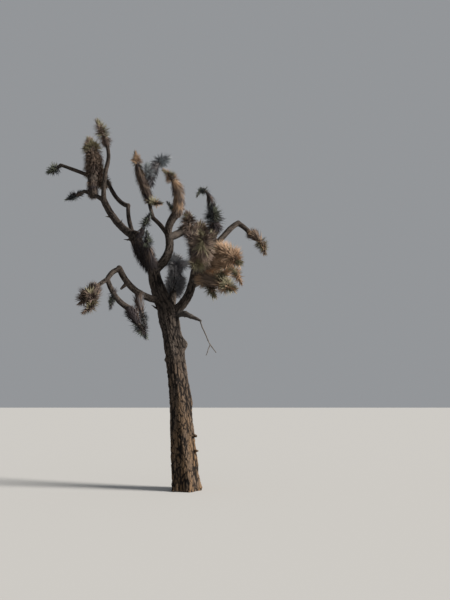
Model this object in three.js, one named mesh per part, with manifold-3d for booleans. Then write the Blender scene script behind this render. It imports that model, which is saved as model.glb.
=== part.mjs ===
// Joshua tree: a leaning trunk that forks above head height into crooked shaggy boughs,
// each of which ends in a head of stiff bayonet leaves with a skirt of dead ones under it.
// Millimetres, +Z up, the origin at the middle of the flat cut under the trunk.
import * as THREE from "three";
import { mergeVertices } from "three/addons/utils/BufferGeometryUtils.js";
import Module from "manifold-3d";

const wasm = await Module();
wasm.setup();

// Trunk
const FORK_HEIGHT = 3400;
const FORK_OFFSET = [-400, 50];
const TRUNK_BELLY = [62, 0];
const TRUNK_RADIUS = 193;
const FLARE_RADIUS = 80;
const FLARE_HEIGHT = 620;
const FURROWS = 5;
const FURROW_DEPTH = 9;
const FURROW_TWIST = 900;
const FLARE_FURROW_DEPTH = 20;
const TRUNK_SIDES = 20;
const TRUNK_RINGS = 22;
// Swellings of the trunk: height, half height, how far they stand out, and the bearing they face
const BURLS = [
  { height: 850, spread: 620, out: 40, bearing: 180, sharp: 2 },
  { height: 1720, spread: 260, out: 30, bearing: 20, sharp: 1 },
  { height: 2740, spread: 110, out: 95, bearing: -5, sharp: 8 },
  { height: 3330, spread: 230, out: 36, bearing: 180, sharp: 1 },
];

// Limbs: each runs from the limb that carries it, at that share of its length, to its tip. bow is
// how far its middle stands off the straight line, root and end are its radius at both ends, and
// swell adds to the radius of its middle where old leaf bases sheathe it.
const LIMBS = [
  { name: "main_bough_lower", from: "trunk", at: 1, tip: [-735, 100, 4310], bow: [-62, 0, 25], root: 196,
    end: 116 },
  { name: "main_bough_upper", from: "main_bough_lower", at: 1, tip: [-1150, 150, 5010], bow: [-32, 0, 5],
    root: 112, end: 128, swell: 85 },
  { name: "right_bough_lower", from: "trunk", at: 0.97, tip: [65, -150, 3900], bow: [85, 0, -10],
    root: 104, end: 86 },
  { name: "right_bough_upper", from: "right_bough_lower", at: 1, tip: [170, -100, 4470], bow: [0, 0, 0],
    root: 78, end: 72 },
  { name: "back_bough", from: "trunk", at: 0.97, tip: [-370, 620, 3980], bow: [0, 60, -40], root: 92,
    end: 74 },
  { name: "back_rise", from: "back_bough", at: 1, tip: [-360, 1000, 4380], bow: [0, 0, 0], root: 70,
    end: 58 },

  { name: "low_left_arch_inner", from: "main_bough_lower", at: 0.28, tip: [-1250, -800, 4078],
    bow: [-75, -100, -150], root: 76, end: 58 },
  { name: "low_left_arch_outer", from: "low_left_arch_inner", at: 1, tip: [-1435, -950, 3815],
    bow: [-20, 0, 40], root: 50, end: 48 },
  { name: "low_left_reach", from: "low_left_arch_outer", at: 1, tip: [-1638, -1090, 3612],
    bow: [0, 0, 12], root: 42, end: 40 },
  { name: "low_left_drop", from: "low_left_arch_outer", at: 1, tip: [-1012, -860, 3296],
    bow: [-42, 0, -66], root: 46, end: 58 },
  { name: "low_left_stub", from: "low_left_arch_inner", at: 0.75, tip: [-1220, -690, 3710],
    bow: [0, 0, 0], root: 40, end: 26 },

  { name: "upper_left_arm", from: "main_bough_upper", at: 1, tip: [-1905, 450, 5935], bow: [-50, 25, -72],
    root: 86, end: 72 },
  { name: "upper_left_low", from: "upper_left_arm", at: 1, tip: [-2410, 700, 6225], bow: [-20, 0, 30],
    root: 50, end: 42 },
  { name: "upper_left_rise", from: "upper_left_arm", at: 1, tip: [-1785, 200, 6690], bow: [-35, 0, 0],
    root: 54, end: 45 },
  { name: "upper_left_top", from: "upper_left_rise", at: 1, tip: [-1790, -50, 7020], bow: [35, 0, 0],
    root: 43, end: 42 },
  { name: "upper_left_mid", from: "upper_left_low", at: 0.55, tip: [-2260, 800, 6640], bow: [0, 0, 0],
    root: 75, end: 120, swell: 45 },
  { name: "upper_left_west", from: "upper_left_mid", at: 0.92, tip: [-3010, 850, 6920], bow: [0, 0, 5],
    root: 48, end: 40 },
  { name: "thin_bough_lower", from: "main_bough_upper", at: 0.84, tip: [-1400, 650, 5880],
    bow: [-60, 0, 0], root: 50, end: 45 },
  { name: "thin_bough_upper", from: "thin_bough_lower", at: 1, tip: [-1945, 1050, 6560],
    bow: [-12, 0, -108], root: 54, end: 46 },

  { name: "inner_bough", from: "main_bough_lower", at: 0.95, tip: [-458, 450, 5030], bow: [105, 50, -20],
    root: 98, end: 88 },
  { name: "inner_left_lower", from: "inner_bough", at: 1, tip: [-845, 600, 5565], bow: [50, 0, 5],
    root: 52, end: 48 },
  { name: "inner_left_upper", from: "inner_left_lower", at: 1, tip: [-970, 700, 6070], bow: [-10, 0, 0],
    root: 40, end: 44 },
  { name: "inner_right", from: "inner_bough", at: 1, tip: [-278, 310, 5585], bow: [-98, 0, 0], root: 76,
    end: 94 },

  { name: "right_rise", from: "right_bough_upper", at: 1, tip: [530, -230, 5010], bow: [45, 0, 0],
    root: 64, end: 85, swell: 75 },
  { name: "right_arch_inner", from: "right_bough_upper", at: 1, tip: [730, 200, 5056], bow: [14, 0, -18],
    root: 72, end: 62 },
  { name: "right_arch_mid", from: "right_arch_inner", at: 1, tip: [1014, 350, 5364], bow: [-3, 0, 25],
    root: 62, end: 60 },
  { name: "right_arch_outer", from: "right_arch_mid", at: 1, tip: [1288, 400, 5114], bow: [4, 0, 32],
    root: 56, end: 50 },
  { name: "right_out", from: "right_bough_upper", at: 0.8, tip: [560, -400, 4490], bow: [0, 0, 30],
    root: 48, end: 44 },
];

// The bare dead twig that hangs from the fork, and the side twig near its end
const DEAD_TWIG = { name: "dead_twig_upper", from: "right_bough_lower", at: 0.12, tip: [265, -200, 3165],
  bow: [0, 0, 50], root: 88, end: 20 };
const DEAD_TWIG_TIP = { name: "dead_twig_lower", from: "dead_twig_upper", at: 1, tip: [560, -300, 2545],
  bow: [-28, 0, -18], root: 14, end: 8 };
const SIDE_TWIG = { at: 0.72, tip: [370, -310, 2490], root: 9, end: 6 };

// Heads of leaves. Each stem runs from its limb through via to its tip, bare at first and then a
// club of leaf bases. length is how far a leaf stands out, and arms are short side heads.
const HEADS = [
  { name: "low_left_head", from: "low_left_reach", tip: [-1785, -1300, 3340], via: [-1730, -1170, 3490],
    club: 105, length: 130, leaves: 10, arms: 1 },
  { name: "low_left_under_head", from: "low_left_reach", tip: [-1735, -1240, 3175],
    via: [-1612, -1150, 3385], club: 80, length: 110, leaves: 6 },
  { name: "low_left_tuft", from: "low_left_drop", at: 0.4, tip: [-1345, -980, 3290], club: 56, length: 80,
    leaves: 6 },
  { name: "hanging_head", from: "low_left_drop", tip: [-720, -780, 2790], club: 108, bare: 0.1,
    length: 98, leaves: 10 },
  { name: "second_hanging_head", from: "low_left_arch_inner", at: 0.46, tip: [-742, -600, 3010],
    via: [-885, -530, 3420], club: 84, bare: 0.12, length: 80, leaves: 6 },

  { name: "west_low_head", from: "upper_left_low", tip: [-2835, 880, 6105], via: [-2615, 800, 6165],
    club: 76, bare: 0.3, length: 90, leaves: 6 },
  { name: "top_head", from: "upper_left_top", tip: [-1925, -180, 7372], club: 85, length: 160,
    leaves: 9 },
  { name: "tall_left_head", from: "upper_left_mid", tip: [-2395, 850, 7545], via: [-2270, 850, 7060],
    club: 203, length: 115, leaves: 15 },
  { name: "west_head", from: "upper_left_west", tip: [-3308, 955, 6795], club: 92, bare: 0.25,
    length: 120, leaves: 7 },
  { name: "hidden_left_head", from: "thin_bough_upper", tip: [-2325, 1500, 7180],
    via: [-2190, 1270, 6780], club: 105, bare: 0.15, length: 160, leaves: 9, arms: 1 },

  { name: "dark_head", from: "main_bough_upper", at: 0.85, tip: [-800, -180, 5370],
    via: [-920, -70, 5160], club: 70, length: 100, leaves: 6 },
  { name: "front_strip_head", from: "main_bough_lower", at: 0.93, tip: [-810, -430, 4895],
    via: [-785, -230, 4600], club: 82, length: 100, leaves: 7 },
  { name: "long_sheath_head", from: "inner_left_upper", tip: [-1295, 750, 7155], via: [-1200, 740, 6705],
    club: 92, length: 110, leaves: 10 },
  { name: "cross_tuft", from: "inner_left_upper", at: 0.85, tip: [-690, 590, 5890], club: 78, length: 110,
    leaves: 6 },
  { name: "pale_head", from: "inner_left_upper", tip: [-625, 1150, 7230], via: [-945, 950, 6780],
    club: 95, bare: 0.3, length: 170, leaves: 9, arms: 1 },
  { name: "curved_head", from: "inner_right", tip: [-548, -80, 6362], via: [-292, 130, 6062], club: 125,
    length: 85, leaves: 11 },
  { name: "side_tuft", from: "inner_right", at: 0.92, tip: [-480, 210, 5760], club: 54, length: 90,
    leaves: 6 },

  { name: "crown_back_head", from: "right_bough_upper", at: 0.9, tip: [120, 1250, 5570],
    via: [175, 700, 5150], club: 155, bare: 0.08, length: 190, leaves: 12, arms: 2 },
  { name: "crown_back_low_head", from: "right_bough_lower", tip: [480, 1400, 4930], via: [370, 740, 4420],
    club: 145, bare: 0.3, length: 190, leaves: 11, arms: 2 },
  { name: "bridge_head", from: "inner_right", at: 0.1, tip: [-105, 690, 5705], via: [-118, 550, 5325],
    club: 132, bare: 0.42, length: 120, leaves: 9 },
  { name: "dark_crown_head", from: "right_rise", tip: [482, -400, 5430], club: 132, length: 170,
    leaves: 10 },
  { name: "crest_head", from: "right_rise", at: 0.9, tip: [180, -350, 5715], via: [385, -270, 5740],
    club: 54, bare: 0.45, length: 100, leaves: 7 },
  { name: "orange_head", from: "right_out", tip: [988, -620, 4228], via: [760, -500, 4470], club: 163,
    length: 150, leaves: 13 },
  { name: "small_right_head", from: "right_bough_upper", at: 0.5, tip: [1030, -300, 3930],
    via: [700, -220, 4290], club: 85, bare: 0.3, length: 120, leaves: 7 },
  { name: "low_right_head", from: "right_bough_upper", at: 0.15, tip: [890, -640, 3712],
    via: [420, -380, 3940], club: 125, bare: 0.2, length: 150, leaves: 10, arms: 2 },
  { name: "front_head", from: "right_bough_upper", at: 0.4, tip: [310, -1250, 4560],
    via: [300, -680, 4350], club: 135, bare: 0.2, length: 190, leaves: 12, arms: 2 },
  { name: "arch_head", from: "right_arch_outer", tip: [1576, 490, 4745], via: [1455, 440, 5000],
    club: 108, length: 110, leaves: 8 },
  { name: "inner_back_head", from: "back_rise", tip: [-395, 1400, 4890], via: [-390, 1180, 4660],
    club: 110, length: 175, leaves: 11, arms: 2 },
  { name: "low_back_head", from: "back_bough", at: 0.8, tip: [-345, 1390, 4290], via: [-365, 1000, 4195],
    club: 166, bare: 0.1, length: 172, leaves: 10, arms: 2 },
];

// Leaves: a three-sided blade, its root sunk into the club. They stand in a golden-angle spiral that
// closes up towards the tip, and their tilt off the stem runs from the dead skirt at the foot of a
// head to the green rosette at its tip.
const BLADE_SIDES = 3;
const BLADE_WIDTH = 76;
const BLADE_THICKNESS = 26;
const BLADE_ROOT = 55;
const GOLDEN_ANGLE = 137.5;
const BEARING_SPREAD = 40;
const CROWDING = 0.8;
const SKIRT_TILT = 128;
const ROSETTE_TILT = 12;
const TILT_SWEEP = 1.3;
const TILT_SPREAD = 24;
const LENGTH_SPREAD = 0.3;
const BLADE_SEAT = 0.9;
const ROSETTE_SEAT = 0.25;
const ROSETTE_FROM = 0.7;

// The stem of a head, as shares of its length and girth: how thick its neck is beside its limb,
// how fast it swells to the club, and where and how far its tip rounds off
const NECK_SHARE = 0.9;
const CLUB_RISE = 0.22;
const TIP_FROM = 0.75;
const TIP_ROUNDING = 0.45;

// Arms of a head: where they leave it, their length and lean, how far they curve up, and their
// girth and leaves beside its own
const ARM_FROM = 0.42;
const ARM_STEP = 0.22;
const ARM_LENGTH = 300;
const ARM_LEAN = 62;
const ARM_CURVE = 30;
const ARM_GIRTH = 0.72;
const ARM_LEAVES = 0.5;
const ARM_BARE = 0.15;

// Facets of the tubes, the share of its radius that a tube's end domes out by, how far inside its
// carrier a limb starts before it is cut, and how steep a path counts as upright
const LIMB_SIDES = 7;
const LIMB_STEP = 260;
const LIMB_LEAST_STEPS = 3;
const HEAD_SIDES = 6;
const HEAD_STEP = 170;
const HEAD_LEAST_STEPS = 4;
const TWIG_SIDES = 5;
const SIDE_TWIG_STEPS = 3;
const DOME = 0.3;
const ROOT_INSET = 22;
const UPRIGHT = 0.95;

// The clear gap between two pieces, the least distance from a leaf to another piece, how far a
// mass is smoothed where leaves meet its club, and the distance at which points are one
const GAP = 0.5;
const LEAST_SEPARATION = 6;
const SMOOTHING = 2.5;
const MERGE_DISTANCE = 0.001;

// Seeds of the arms and leaves: the step from head to head, from arm to arm and from use to use
const HEAD_SEED = 100;
const CLUB_SEED = 40;
const ARM_SEED = 7;
const LENGTH_SEED = 0.25;
const TILT_SEED = 0.5;

// Colours of the bark and of the leaves
const BARK_COLOUR = 0x5a4b3f;
const BARK_ROUGHNESS = 0.95;
const TWIG_COLOUR = 0x6a6058;
const LEAF_COLOURS = [0x4b443e, 0x5c564a, 0x55503f, 0x494d4c];
const LEAF_ROUGHNESS = 0.85;

const vector = ([x, y, z]) => new THREE.Vector3(x, y, z);
const radians = THREE.MathUtils.degToRad;

// A repeatable number from 0 to 1 for each seed
function chance(seed) {
  const value = Math.sin(seed * 127.1) * 43758.5453;
  return value - Math.floor(value);
}

// A curve from root to tip whose middle passes through the given point
function curveThrough(root, middle, tip) {
  const bend = middle.clone().multiplyScalar(2).sub(root.clone().add(tip).multiplyScalar(0.5));
  return new THREE.QuadraticBezierCurve3(root, bend, tip);
}

// A geometry as a solid
function solidFrom(geometry) {
  geometry.deleteAttribute("normal");
  geometry.deleteAttribute("uv");
  const merged = mergeVertices(geometry, MERGE_DISTANCE);
  return new wasm.Manifold(new wasm.Mesh({
    numProp: 3,
    vertProperties: new Float32Array(merged.attributes.position.array),
    triVerts: new Uint32Array(merged.index.array),
  }));
}

// A closed tube round a curve, with low domes for ends. A level one keeps its rings horizontal
// and its foot flat. grow makes it that much larger all round.
function tube({ path, sides, steps, radiusAt, level = false }, grow = 0) {
  const geometry = new THREE.CylinderGeometry(1, 1, 1, sides, steps);
  const frames = path.computeFrenetFrames(steps);
  const place = geometry.attributes.position;
  for (let i = 0; i < place.count; i += 1) {
    const side = place.getX(i);
    const out = place.getZ(i);
    const along = place.getY(i) + 0.5;
    const step = Math.round(along * steps);
    const tangent = level ? new THREE.Vector3(0, 0, 1) : frames.tangents[step];
    const normal = level ? new THREE.Vector3(1, 0, 0) : frames.normals[step];
    const binormal = level ? new THREE.Vector3(0, 1, 0) : frames.binormals[step];
    const radius = radiusAt(along, Math.atan2(side, out));
    const isCentre = Math.hypot(side, out) < 0.5;
    const outward = along > 0.5 ? 1 : -1;
    const isEnd = step === 0 || step === steps;
    const dome = isCentre && !(level && step === 0) ? DOME * radius : 0;
    const point = path.getPointAt(along)
      .addScaledVector(binormal, side * (radius + grow))
      .addScaledVector(normal, out * (radius + grow))
      .addScaledVector(tangent, isEnd ? outward * (dome + grow) : 0);
    place.setXYZ(i, point.x, point.y, point.z);
  }
  return solidFrom(geometry);
}

// Trunk

// The radius of the trunk at a share of its height, on a bearing: root flare, furrows and burls
function trunkRadius(along, bearing) {
  const height = along * FORK_HEIGHT;
  const flare = Math.exp(-height / FLARE_HEIGHT);
  const depth = FURROW_DEPTH + FLARE_FURROW_DEPTH * flare;
  const furrow = depth * Math.cos(FURROWS * bearing + height / FURROW_TWIST);
  let radius = TRUNK_RADIUS + FLARE_RADIUS * flare + furrow;
  for (const burl of BURLS) {
    const rise = Math.exp(-(((height - burl.height) / burl.spread) ** 2));
    const facing = ((1 + Math.cos(bearing - radians(burl.bearing))) / 2) ** burl.sharp;
    radius += burl.out * rise * facing;
  }
  return radius;
}

function trunkTube() {
  const root = new THREE.Vector3(0, 0, 0);
  const tip = vector([...FORK_OFFSET, FORK_HEIGHT]);
  const middle = tip.clone().multiplyScalar(0.5).add(vector([...TRUNK_BELLY, 0]));
  return { path: curveThrough(root, middle, tip), sides: TRUNK_SIDES, steps: TRUNK_RINGS,
    radiusAt: trunkRadius, level: true, end: TRUNK_RADIUS };
}

// Limbs and the stems of the heads

// The shape of each limb and stem, by name
const shapes = new Map();

// The point where a limb or stem starts, a little inside the one that carries it
function rootOf({ from, at = 1 }) {
  const path = shapes.get(from).path;
  return path.getPointAt(at).addScaledVector(path.getTangentAt(at), at === 1 ? -ROOT_INSET : 0);
}

function limbTube(limb, sides = LIMB_SIDES) {
  const root = rootOf(limb);
  const tip = vector(limb.tip);
  const middle = root.clone().add(tip).multiplyScalar(0.5).add(vector(limb.bow));
  const path = curveThrough(root, middle, tip);
  const radiusAt = (along) => THREE.MathUtils.lerp(limb.root, limb.end, along)
    + (limb.swell ?? 0) * Math.sin(Math.PI * along);
  const steps = Math.max(LIMB_LEAST_STEPS, Math.round(path.getLength() / LIMB_STEP));
  return { path, sides, steps, radiusAt, end: limb.end };
}

// The radius of a head's stem: a neck, a club of leaf bases, and a rounded tip
function clubRadius(along, neck, club, bare) {
  const rise = THREE.MathUtils.smoothstep(along, bare, bare + CLUB_RISE);
  const round = 1 - TIP_ROUNDING * THREE.MathUtils.smoothstep(along, TIP_FROM, 1);
  return THREE.MathUtils.lerp(neck, club, rise) * round;
}

function clubTube(path, neck, club, bare) {
  const steps = Math.max(HEAD_LEAST_STEPS, Math.round(path.getLength() / HEAD_STEP));
  return { path, sides: HEAD_SIDES, steps, radiusAt: (along) => clubRadius(along, neck, club, bare) };
}

function headTube(head) {
  const root = rootOf(head);
  const tip = vector(head.tip);
  const middle = head.via ? vector(head.via) : root.clone().add(tip).multiplyScalar(0.5);
  const carrier = shapes.get(head.from);
  const neck = Math.min(carrier.end * NECK_SHARE, head.club);
  return clubTube(curveThrough(root, middle, tip), neck, head.club, head.bare ?? 0);
}

// The side heads of a head, each leaning out of its stem by a seeded bearing
function armTubes(head, stem, seed) {
  const arms = [];
  for (let i = 0; i < (head.arms ?? 0); i += 1) {
    const at = ARM_FROM + ARM_STEP * i;
    const bearing = radians(360 * chance(seed) + 180 * i);
    const { tangent, normal, binormal } = frameAt(stem.path, at);
    const side = normal.multiplyScalar(Math.cos(bearing)).addScaledVector(binormal, Math.sin(bearing));
    const lean = radians(ARM_LEAN);
    const reach = tangent.multiplyScalar(Math.cos(lean)).addScaledVector(side, Math.sin(lean));
    const root = stem.path.getPointAt(at);
    const tip = root.clone().addScaledVector(reach, ARM_LENGTH);
    const middle = root.clone().add(tip).multiplyScalar(0.5).addScaledVector(side, ARM_CURVE);
    const club = head.club * ARM_GIRTH;
    arms.push(clubTube(curveThrough(root, middle, tip), club * NECK_SHARE, club, 0));
  }
  return arms;
}

// The directions along and across a path at one place, from the level plane unless it stands upright
function frameAt(path, at) {
  const tangent = path.getTangentAt(at);
  const isUpright = Math.abs(tangent.z) > UPRIGHT;
  const level = isUpright ? new THREE.Vector3(1, 0, 0) : new THREE.Vector3(0, 0, 1);
  const normal = new THREE.Vector3().crossVectors(level, tangent).normalize();
  const binormal = new THREE.Vector3().crossVectors(tangent, normal);
  return { tangent, normal, binormal };
}

// Leaves

// A three-sided blade with a point at both ends: one point is sunk into the club, and its widest
// part lies at the surface
function blade(base, direction, side, length) {
  const geometry = new THREE.ConeGeometry(1, 1, BLADE_SIDES);
  const place = geometry.attributes.position;
  const flat = new THREE.Vector3().crossVectors(direction, side).normalize();
  const across = new THREE.Vector3().crossVectors(direction, flat);
  const turn = new THREE.Matrix4().makeBasis(across, direction, flat).setPosition(base);
  for (let i = 0; i < place.count; i += 1) {
    const isTip = place.getY(i) > 0;
    const isCentre = Math.hypot(place.getX(i), place.getZ(i)) < 0.5;
    const along = isTip ? length : (isCentre ? -BLADE_ROOT : 0);
    const girth = isTip ? 0 : 1;
    const wide = girth * place.getX(i) * BLADE_WIDTH / 2;
    const thick = girth * place.getZ(i) * BLADE_THICKNESS / 2;
    place.setXYZ(i, wide, along, thick);
  }
  geometry.applyMatrix4(turn);
  return solidFrom(geometry);
}

// The blades of one club in a golden-angle spiral, tilted back at its foot and forward at its tip
function bladesOf(club, bare, count, length, seed) {
  const blades = [];
  for (let i = 0; i < count; i += 1) {
    const share = (i + 0.5) / count;
    const along = THREE.MathUtils.lerp(bare, 1, share ** CROWDING);
    const bearing = radians(GOLDEN_ANGLE * i + BEARING_SPREAD * chance(seed + i));
    const tilt = radians(THREE.MathUtils.lerp(SKIRT_TILT, ROSETTE_TILT, share ** TILT_SWEEP)
      + TILT_SPREAD * (chance(seed + TILT_SEED + i) - 0.5));
    const closing = THREE.MathUtils.smoothstep(share, ROSETTE_FROM, 1);
    const seat = THREE.MathUtils.lerp(BLADE_SEAT, ROSETTE_SEAT, closing) * club.radiusAt(along);
    const { tangent, normal, binormal } = frameAt(club.path, along);
    const out = normal.multiplyScalar(Math.cos(bearing)).addScaledVector(binormal, Math.sin(bearing));
    const side = new THREE.Vector3().crossVectors(tangent, out);
    const direction = tangent.multiplyScalar(Math.cos(tilt)).addScaledVector(out, Math.sin(tilt)).normalize();
    const base = club.path.getPointAt(along).addScaledVector(out, seat);
    const reach = length * (1 + LENGTH_SPREAD * (chance(seed + LENGTH_SEED + i) - 0.5));
    blades.push(blade(base, direction, side, reach));
  }
  return blades;
}

// Joining, and keeping each piece clear of the others

// The solid of each piece that stands already, and the same grown by the gap, by name
const standing = new Map();
const keepOut = new Map();

function boxesMeet(a, b, margin) {
  const overlaps = (axis) => a.min[axis] < b.max[axis] + margin && b.min[axis] < a.max[axis] + margin;
  return [0, 1, 2].every(overlaps);
}

// A solid as a geometry
function geometryOf(solid) {
  const mesh = solid.getMesh();
  const places = new Float32Array(mesh.vertProperties);
  const geometry = new THREE.BufferGeometry();
  geometry.setAttribute("position", new THREE.BufferAttribute(places, 3));
  geometry.setIndex(new THREE.BufferAttribute(new Uint32Array(mesh.triVerts), 1));
  return geometry;
}

// The main body of a solid, without loose scraps and with its sealed hollows filled. A hollow that
// touches the outside at one point only comes apart from it in a second pass.
function mainBody(solid) {
  let body = solid;
  for (let pass = 0; pass < 2; pass += 1) {
    const pieces = solidFrom(geometryOf(body).toNonIndexed()).decompose();
    body = pieces.sort((a, b) => b.volume() - a.volume())[0];
  }
  return body;
}

// A solid cut clear of all that stand already, apart from itself
function cutClear(solid, own) {
  let result = solid;
  for (const [name, other] of keepOut) {
    if (name !== own && boxesMeet(result.boundingBox(), other.boundingBox(), GAP)) {
      result = result.subtract(other);
    }
  }
  return mainBody(result.simplify(GAP / 2));
}

// Whether a solid comes close to a piece that isn't its own
function touchesAnother(solid, own) {
  const box = solid.boundingBox();
  for (const [name, other] of standing) {
    if (name !== own && boxesMeet(box, other.boundingBox(), LEAST_SEPARATION)
      && solid.minGap(other, LEAST_SEPARATION * 2) < LEAST_SEPARATION) {
      return true;
    }
  }
  return false;
}

const tree = new THREE.Group();

function addMesh(name, solid, colour, roughness) {
  const geometry = geometryOf(solid);
  geometry.computeVertexNormals();
  const material = new THREE.MeshStandardMaterial({ color: colour, roughness, metalness: 0 });
  const piece = new THREE.Mesh(geometry, material);
  piece.name = name;
  tree.add(piece);
}

// Stands a tube with its side tubes, cut clear of all that stand already
function standTube(name, shape, sideShapes = []) {
  shapes.set(name, shape);
  const all = [shape, ...sideShapes];
  const solid = cutClear(wasm.Manifold.union(all.map((part) => tube(part))), name);
  standing.set(name, solid);
  keepOut.set(name, wasm.Manifold.union(all.map((part) => tube(part, GAP))));
  return solid;
}

// The tree itself

addMesh("trunk", standTube("trunk", trunkTube()), BARK_COLOUR, BARK_ROUGHNESS);

for (const limb of LIMBS) {
  addMesh(limb.name, standTube(limb.name, limbTube(limb)), BARK_COLOUR, BARK_ROUGHNESS);
}

const upperTwig = limbTube(DEAD_TWIG, TWIG_SIDES);
addMesh(DEAD_TWIG.name, standTube(DEAD_TWIG.name, upperTwig), TWIG_COLOUR, BARK_ROUGHNESS);
const lowerTwig = limbTube(DEAD_TWIG_TIP, TWIG_SIDES);
const sideRoot = lowerTwig.path.getPointAt(SIDE_TWIG.at);
const sideTip = vector(SIDE_TWIG.tip);
const sideMiddle = sideRoot.clone().add(sideTip).multiplyScalar(0.5);
const sideTwig = { path: curveThrough(sideRoot, sideMiddle, sideTip),
  sides: TWIG_SIDES, steps: SIDE_TWIG_STEPS,
  radiusAt: (along) => THREE.MathUtils.lerp(SIDE_TWIG.root, SIDE_TWIG.end, along) };
const forkedTwig = standTube(DEAD_TWIG_TIP.name, lowerTwig, [sideTwig]);
addMesh(DEAD_TWIG_TIP.name, forkedTwig, TWIG_COLOUR, BARK_ROUGHNESS);

// Every club stands before any leaf, so that a leaf is skipped where it would touch one
const clubs = new Map();
HEADS.forEach((head, order) => {
  const stem = headTube(head);
  const arms = armTubes(head, stem, ARM_SEED * order)
    .filter((arm) => !touchesAnother(tube(arm), head.name));
  clubs.set(head.name, [stem, ...arms]);
  standTube(head.name, stem, arms);
});

// Whether a surface touches itself along an edge, so that it isn't one plain closed body
function touchesItself(solid) {
  const { index } = mergeVertices(geometryOf(solid).toNonIndexed(), MERGE_DISTANCE);
  const faces = new Map();
  for (let i = 0; i < index.count; i += 3) {
    const corners = [index.getX(i), index.getX(i + 1), index.getX(i + 2)];
    if (new Set(corners).size === 3) {
      corners.forEach((corner, side) => {
        const edge = [corner, corners[(side + 1) % 3]].sort((a, b) => a - b).join();
        faces.set(edge, (faces.get(edge) ?? 0) + 1);
      });
    }
  }
  return [...faces.values()].some((count) => count !== 2);
}

// A club with its leaves fused on, fewer of them where they would make its surface touch itself
function massOf(name, blades) {
  const mass = cutClear(wasm.Manifold.union([standing.get(name), ...blades]).simplify(SMOOTHING), name);
  return touchesItself(mass) ? massOf(name, blades.slice(1)) : mass;
}

// The leaves of a head's own club and of its arms, without those that would touch another piece
function leavesOf(head, order) {
  const leaves = clubs.get(head.name).flatMap((club, number) => {
    const isArm = number > 0;
    const bare = isArm ? ARM_BARE : head.bare ?? 0;
    const count = Math.round(head.leaves * (isArm ? ARM_LEAVES : 1));
    return bladesOf(club, bare, count, head.length, HEAD_SEED * order + CLUB_SEED * number);
  });
  return leaves.filter((leaf) => !touchesAnother(leaf, head.name));
}

HEADS.forEach((head, order) => {
  const mass = massOf(head.name, leavesOf(head, order));
  standing.set(head.name, mass);
  addMesh(head.name, mass, LEAF_COLOURS[order % LEAF_COLOURS.length], LEAF_ROUGHNESS);
});

export default tree;
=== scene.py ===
"""Joshua tree: the bark, dead twig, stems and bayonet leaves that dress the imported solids.

Lengths in the tree's named sizes and tables are millimetres, as the solids were drawn. Everything
else is in metres.
"""
import math
from collections import namedtuple

import bmesh
import bpy
import numpy as np
from bpy.props import FloatProperty, FloatVectorProperty, PointerProperty
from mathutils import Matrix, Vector


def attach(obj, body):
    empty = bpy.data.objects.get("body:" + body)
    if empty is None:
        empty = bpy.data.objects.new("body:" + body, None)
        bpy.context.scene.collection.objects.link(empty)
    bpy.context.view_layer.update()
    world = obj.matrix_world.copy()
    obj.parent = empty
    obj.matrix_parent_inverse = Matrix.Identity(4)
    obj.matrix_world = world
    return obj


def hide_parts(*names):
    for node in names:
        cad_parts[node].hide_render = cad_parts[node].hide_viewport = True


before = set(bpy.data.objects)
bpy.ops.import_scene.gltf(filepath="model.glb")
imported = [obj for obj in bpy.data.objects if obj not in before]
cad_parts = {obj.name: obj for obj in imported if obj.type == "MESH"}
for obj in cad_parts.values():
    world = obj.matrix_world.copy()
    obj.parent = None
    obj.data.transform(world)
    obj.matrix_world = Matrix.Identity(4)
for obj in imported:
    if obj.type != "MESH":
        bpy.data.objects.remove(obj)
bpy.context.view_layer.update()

bl_info = {
    "name": "Joshua Tree",
    "version": (1, 0, 0),
    "blender": (4, 5, 0),
    "location": "3D View > Sidebar > Joshua Tree",
    "description": "Grows the bark, dead twig, stems and leaves of a Joshua tree",
    "category": "Add Mesh",
}

MILLIMETRE = 0.001
GROUND_BODY = "root"

# ---- The tree's named sizes, as its solids have them ----

FORK_HEIGHT = 3400
FORK_OFFSET = (-400, 50)
TRUNK_BELLY = (62, 0)
TRUNK_RADIUS = 193
FLARE_RADIUS = 80
FLARE_HEIGHT = 620
FURROWS = 5
FURROW_DEPTH = 9
FLARE_FURROW_DEPTH = 20
FURROW_TWIST = 900

# A burl: its height, how far it spreads up the trunk and stands out of it, and which way it faces
# and how sharply
Burl = namedtuple("Burl", "height spread out bearing sharp")
BURLS = (
    Burl(850, 620, 40, 180, 2),
    Burl(1720, 260, 30, 20, 1),
    Burl(2740, 110, 95, -5, 8),
    Burl(3330, 230, 36, 180, 1),
)

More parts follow.
